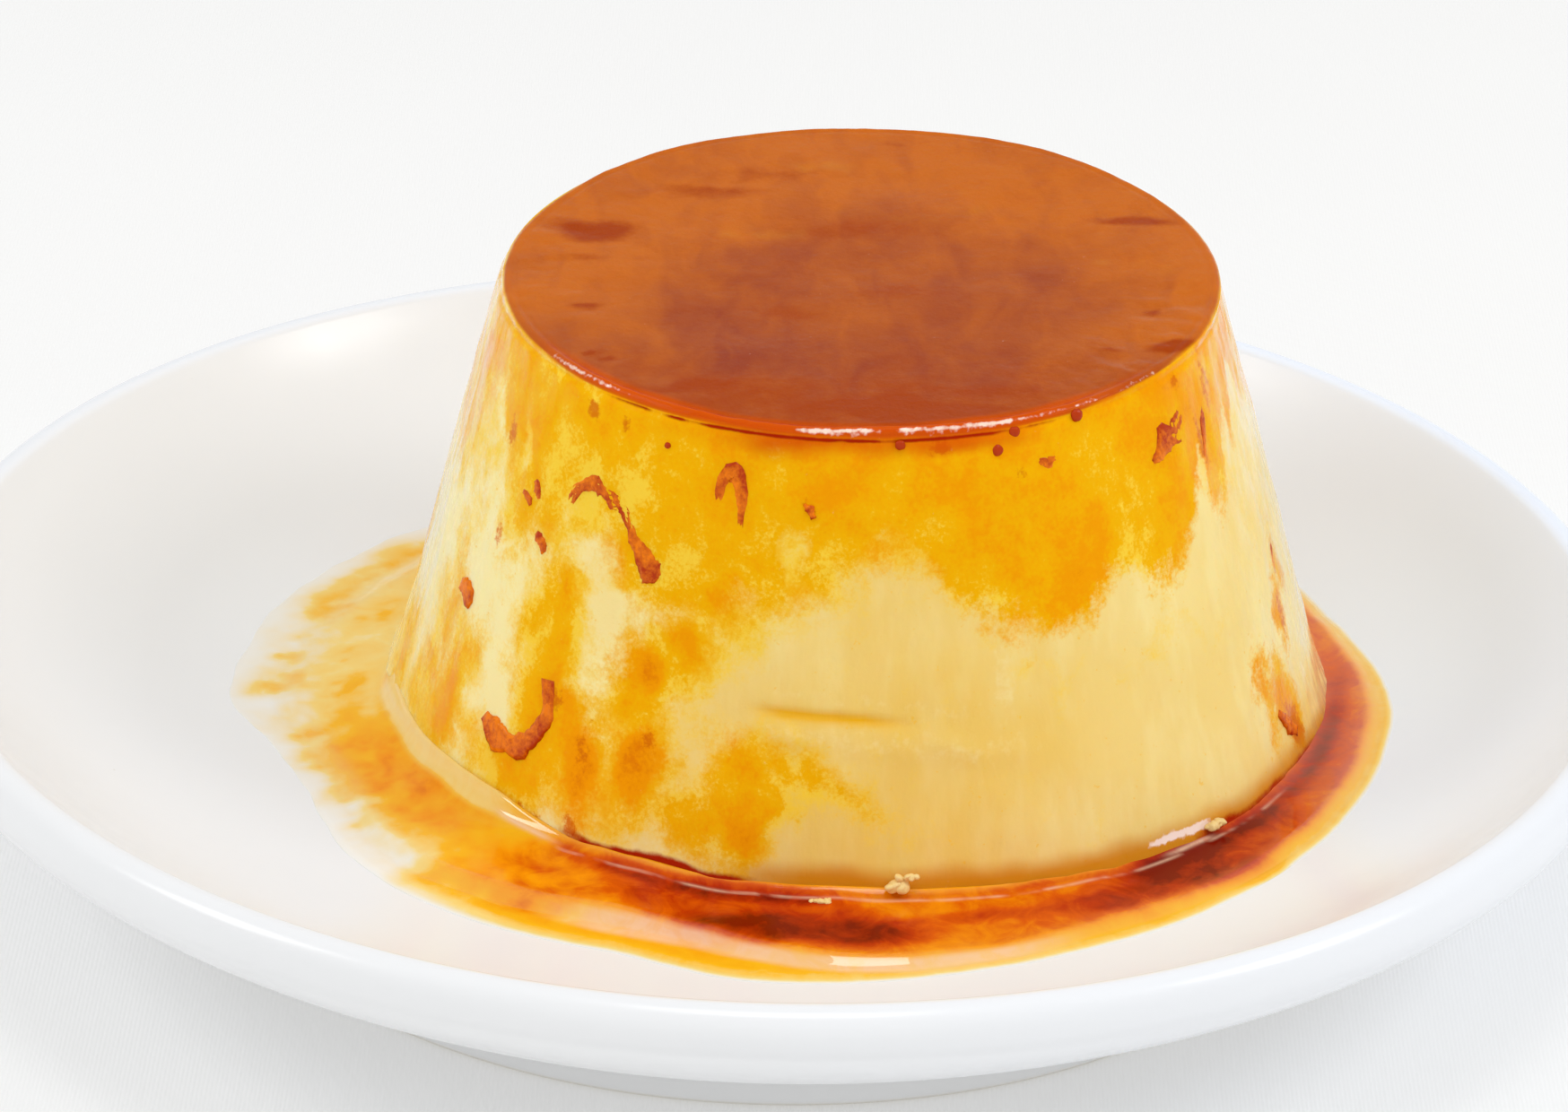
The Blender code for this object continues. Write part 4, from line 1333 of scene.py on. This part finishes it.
def shred_layers(flan, course, chance):
    """A shred's outer and inner layers of points in mm, and how dark each point's edge is."""
    share, angle, height, width = shred_rows(course)
    radius = wall_radius(flan, height)
    step = np.stack([np.gradient(angle) * math.pi / 180.0 * radius, np.gradient(height)], axis=1)
    step /= np.hypot(step[:, 0], step[:, 1])[:, None]
    half_width = width.max()
    knots = np.arange(24)
    ragged = np.interp(share * 2.5, knots, chance.uniform(-1.0, 1.0, 24))
    width = width * (1.0 + 0.3 * ragged + chance.uniform(-0.12, 0.12, len(share)))
    drift = 0.35 * width * np.interp(share * 2.0, knots, chance.uniform(-1.0, 1.0, 24))
    lean = chance.uniform(-0.3, 0.3)
    row, column = np.indices((len(share), SHRED_COLUMNS))
    side = column / (SHRED_COLUMNS - 1) * 2.0 - 1.0
    across = side * width[:, None] + drift[:, None]
    angles = angle[:, None] - across * step[:, 1:] / radius[:, None] * 180.0 / math.pi
    heights = height[:, None] + across * step[:, :1]
    fold = 0.08 * half_width * np.abs(np.sin(row * 0.6 + column * 0.9 + lean * 9.0))
    curl = 0.04 * half_width * np.abs(side + lean) ** 2
    rim = np.maximum(np.abs(side) ** 4, np.abs(row / (len(share) - 1) * 2.0 - 1.0) ** 8)
    outer = wall_point(flan, angles, heights, (0.08 + fold + curl) * (1.0 - rim))
    inner = wall_point(flan, angles, heights, -0.25)
    tone = 0.2 + 0.6 * (0.5 + 0.5 * side * math.copysign(1.0, lean)) + 0.3 * ragged[:, None]
    return outer.reshape(-1, 3), inner.reshape(-1, 3), tone.ravel()


def blobs(name, places, radii, squash, roughness, seed):
    """Small uneven lumps joined in one mesh: places in mm, radii in mm, squash along each lump's own Z."""
    shape = bmesh.new()
    chance = np.random.default_rng(seed)
    for (place, outward), radius in zip(places, radii):
        made = bmesh.ops.create_icosphere(shape, subdivisions=3, radius=1.0)
        turn = Vector(outward).to_track_quat("Z", "Y").to_matrix()
        points = np.array([vert.co[:] for vert in made["verts"]])
        bumps = 1.0 + roughness * cloud(points + chance.uniform(0, 40), 0.9, seed, 2)
        for vert, swell in zip(made["verts"], bumps):
            local = Vector((vert.co.x * swell, vert.co.y * swell, vert.co.z * swell * squash)) * radius
            vert.co = (Vector(place) + turn @ local) * MM
    mesh = bpy.data.meshes.new(name)
    shape.to_mesh(mesh)
    shape.free()
    return show(name, mesh)


def make_drops(flan):
    """Make the dried drops of caramel under the rim."""
    places, radii = [], []
    for angle, height, radius in SKIN_DROPS:
        turn = math.radians(angle)
        places.append((wall_point(flan, angle, height, 0.05), (math.cos(turn), math.sin(turn), 0.26)))
        radii.append(radius)
    item = blobs("caramel_drops", places, radii, 0.55, 0.12, 11)
    paint(item, "edge", np.full(len(item.data.vertices), 2.2))
    item.data.transform(flan_matrix(flan))
    item.data.materials.append(skin_material())
    return item


def make_crumbs(plate, flan, caramel):
    """Make the crumbs of custard, in small heaps against the flan's foot."""
    chance = np.random.default_rng(5)
    places, radii = [], []
    for angle, beyond, lifted, radius, count in CRUMB_SPOTS:
        for _ in range(count):
            turn = math.radians(angle + chance.uniform(-1.2, 1.2))
            reach = flan.foot_radius / MM + flan.flare / MM + beyond + chance.uniform(-0.15, 0.25)
            x = flan.middle_x / MM + reach * math.cos(turn)
            y = flan.middle_y / MM + reach * math.sin(turn)
            size = radius * chance.uniform(0.45, 1.0)
            z = film_top(plate, caramel, math.hypot(x, y) * MM) / MM + lifted + 0.1 * size
            places.append(((x, y, z), (chance.uniform(-1, 1), chance.uniform(-1, 1), 1.5)))
            radii.append(size)
    item = blobs("custard_crumbs", places, radii, 0.7, 0.18, 12)
    item.data.materials.append(crumb_material())
    return item


def make_stage(settings):
    """Make the table, the lights and the camera."""
    bpy.ops.mesh.primitive_plane_add(size=6.0, location=(0.0, 0.0, CAD_LOW[2]))
    floor = bpy.context.object
    floor.name = "table"
    floor.data.materials.append(cloth_material(settings))
    make_world(settings)
    add_light("overhead", (0.02, -0.16, 0.74), 0.26, settings.key)
    add_light("left", (-0.62, -0.08, 0.62), 0.26, settings.left)
    add_light("right", (0.62, -0.08, 0.62), 0.26, settings.right)
    add_light("front", (0.0, -0.95, 0.48), 0.80, settings.front)
    make_camera(settings)
    bpy.context.scene.view_settings.view_transform = "Standard"


def make_world(settings):
    """White light from all round, a little stronger from low down."""
    world = bpy.data.worlds.new("studio")
    world.use_nodes = True
    tree = world.node_tree
    direction = add_node(tree, "ShaderNodeTexCoord").outputs["Generated"]
    height = add_node(tree, "ShaderNodeSeparateXYZ", {"Vector": direction}).outputs["Z"]
    low = map_range(tree, math_node(tree, "ABSOLUTE", height), 0.0, 0.42, settings.horizon, 0.0)
    strength = math_node(tree, "ADD", low, settings.world)
    dress(tree, tree.nodes["Background"], {"Color": (1.0, 1.0, 1.0), "Strength": strength})
    bpy.context.scene.world = world


def make_camera(settings):
    """A long lens that looks down at the middle of the plate from the front."""
    scene = bpy.context.scene
    look_at = Vector(LOOK_AT)
    away = Vector((0.0, math.cos(settings.elevation), -math.sin(settings.elevation)))
    camera = bpy.data.objects.new("camera", bpy.data.cameras.new("camera"))
    scene.collection.objects.link(camera)
    camera.location = look_at - away * settings.distance
    aim = away.to_track_quat("-Z", "Y").to_matrix() @ Matrix.Rotation(settings.roll, 3, "Z")
    camera.rotation_euler = aim.to_euler()
    camera.data.lens = settings.lens
    camera.data.sensor_width = 36.0
    camera.data.clip_start = 0.01
    scene.camera = camera


def add_light(name, place, size, power):
    """A square light at a place in metres, aimed at the flan."""
    light = bpy.data.lights.new(name, "AREA")
    light.shape = "SQUARE"
    light.size = size
    light.energy = power
    item = bpy.data.objects.new(name, light)
    item.location = place
    item.rotation_euler = (Vector((0.0, 0.0, 0.02)) - Vector(place)).to_track_quat("-Z", "Y").to_euler()
    bpy.context.scene.collection.objects.link(item)


def settle(item, node):
    """Make a finished piece ride with the object, and stand in for the solid named by node, if one is given.
    """
    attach(item, "root")
    if node:
        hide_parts(node)


class FLAN_OT_plate(bpy.types.Operator):
    """Make the porcelain plate"""

    bl_idname = "flan.plate"
    bl_label = "Plate"

    def execute(self, context):
        settle(make_plate(context.scene.flan_plate), "plate")
        return {"FINISHED"}


class FLAN_OT_custard(bpy.types.Operator):
    """Make the flan with its stained wall and caramel cap"""

    bl_idname = "flan.custard"
    bl_label = "Custard"

    def execute(self, context):
        settle(make_custard(context.scene.flan_body), "custard")
        return {"FINISHED"}


class FLAN_OT_pool(bpy.types.Operator):
    """Make the pool of caramel round the flan's foot"""

    bl_idname = "flan.pool"
    bl_label = "Caramel pool"

    def execute(self, context):
        scene = context.scene
        settle(make_pool(scene.flan_plate, scene.flan_body, scene.flan_caramel), "caramel_sauce")
        return {"FINISHED"}


class FLAN_OT_skin(bpy.types.Operator):
    """Make the shreds and dried drops of caramel on the wall"""

    bl_idname = "flan.skin"
    bl_label = "Caramel skin"

    def execute(self, context):
        settle(make_shreds(context.scene.flan_body), None)
        settle(make_drops(context.scene.flan_body), None)
        return {"FINISHED"}


class FLAN_OT_crumbs(bpy.types.Operator):
    """Make the crumbs of custard round the flan's foot"""

    bl_idname = "flan.crumbs"
    bl_label = "Crumbs"

    def execute(self, context):
        scene = context.scene
        settle(make_crumbs(scene.flan_plate, scene.flan_body, scene.flan_caramel), None)
        return {"FINISHED"}


class FLAN_OT_stage(bpy.types.Operator):
    """Make the table, the lights and the camera"""

    bl_idname = "flan.stage"
    bl_label = "Stage"

    def execute(self, context):
        make_stage(context.scene.flan_stage)
        return {"FINISHED"}


OPERATORS = (FLAN_OT_plate, FLAN_OT_custard, FLAN_OT_pool, FLAN_OT_skin, FLAN_OT_crumbs, FLAN_OT_stage)
SETTINGS = {
    "flan_plate": PlateSettings,
    "flan_body": FlanSettings,
    "flan_caramel": CaramelSettings,
    "flan_stage": StageSettings,
}


class FLAN_PT_panel(bpy.types.Panel):
    """Lists the pieces of the creme caramel"""

    bl_idname = "FLAN_PT_panel"
    bl_label = "Creme Caramel"
    bl_space_type = "VIEW_3D"
    bl_region_type = "UI"
    bl_category = "Flan"

    def draw(self, context):
        for operator in OPERATORS:
            self.layout.operator(operator.bl_idname)
        for name in SETTINGS:
            box = self.layout.box()
            settings = getattr(context.scene, name)
            for key in settings.__annotations__:
                box.prop(settings, key)


def register():
    """Make the settings and the operators known to Blender."""
    for kind in (*SETTINGS.values(), *OPERATORS, FLAN_PT_panel):
        bpy.utils.register_class(kind)
    for name, kind in SETTINGS.items():
        setattr(bpy.types.Scene, name, PointerProperty(type=kind))


def unregister():
    """Take the settings and the operators away again."""
    for name in SETTINGS:
        delattr(bpy.types.Scene, name)
    for kind in reversed((*SETTINGS.values(), *OPERATORS, FLAN_PT_panel)):
        bpy.utils.unregister_class(kind)


def main():
    """Build the flan and its stage."""
    register()
    bpy.ops.flan.plate()
    bpy.ops.flan.custard()
    bpy.ops.flan.pool()
    bpy.ops.flan.skin()
    bpy.ops.flan.crumbs()
    bpy.ops.flan.stage()


if __name__ == "__main__":
    main()
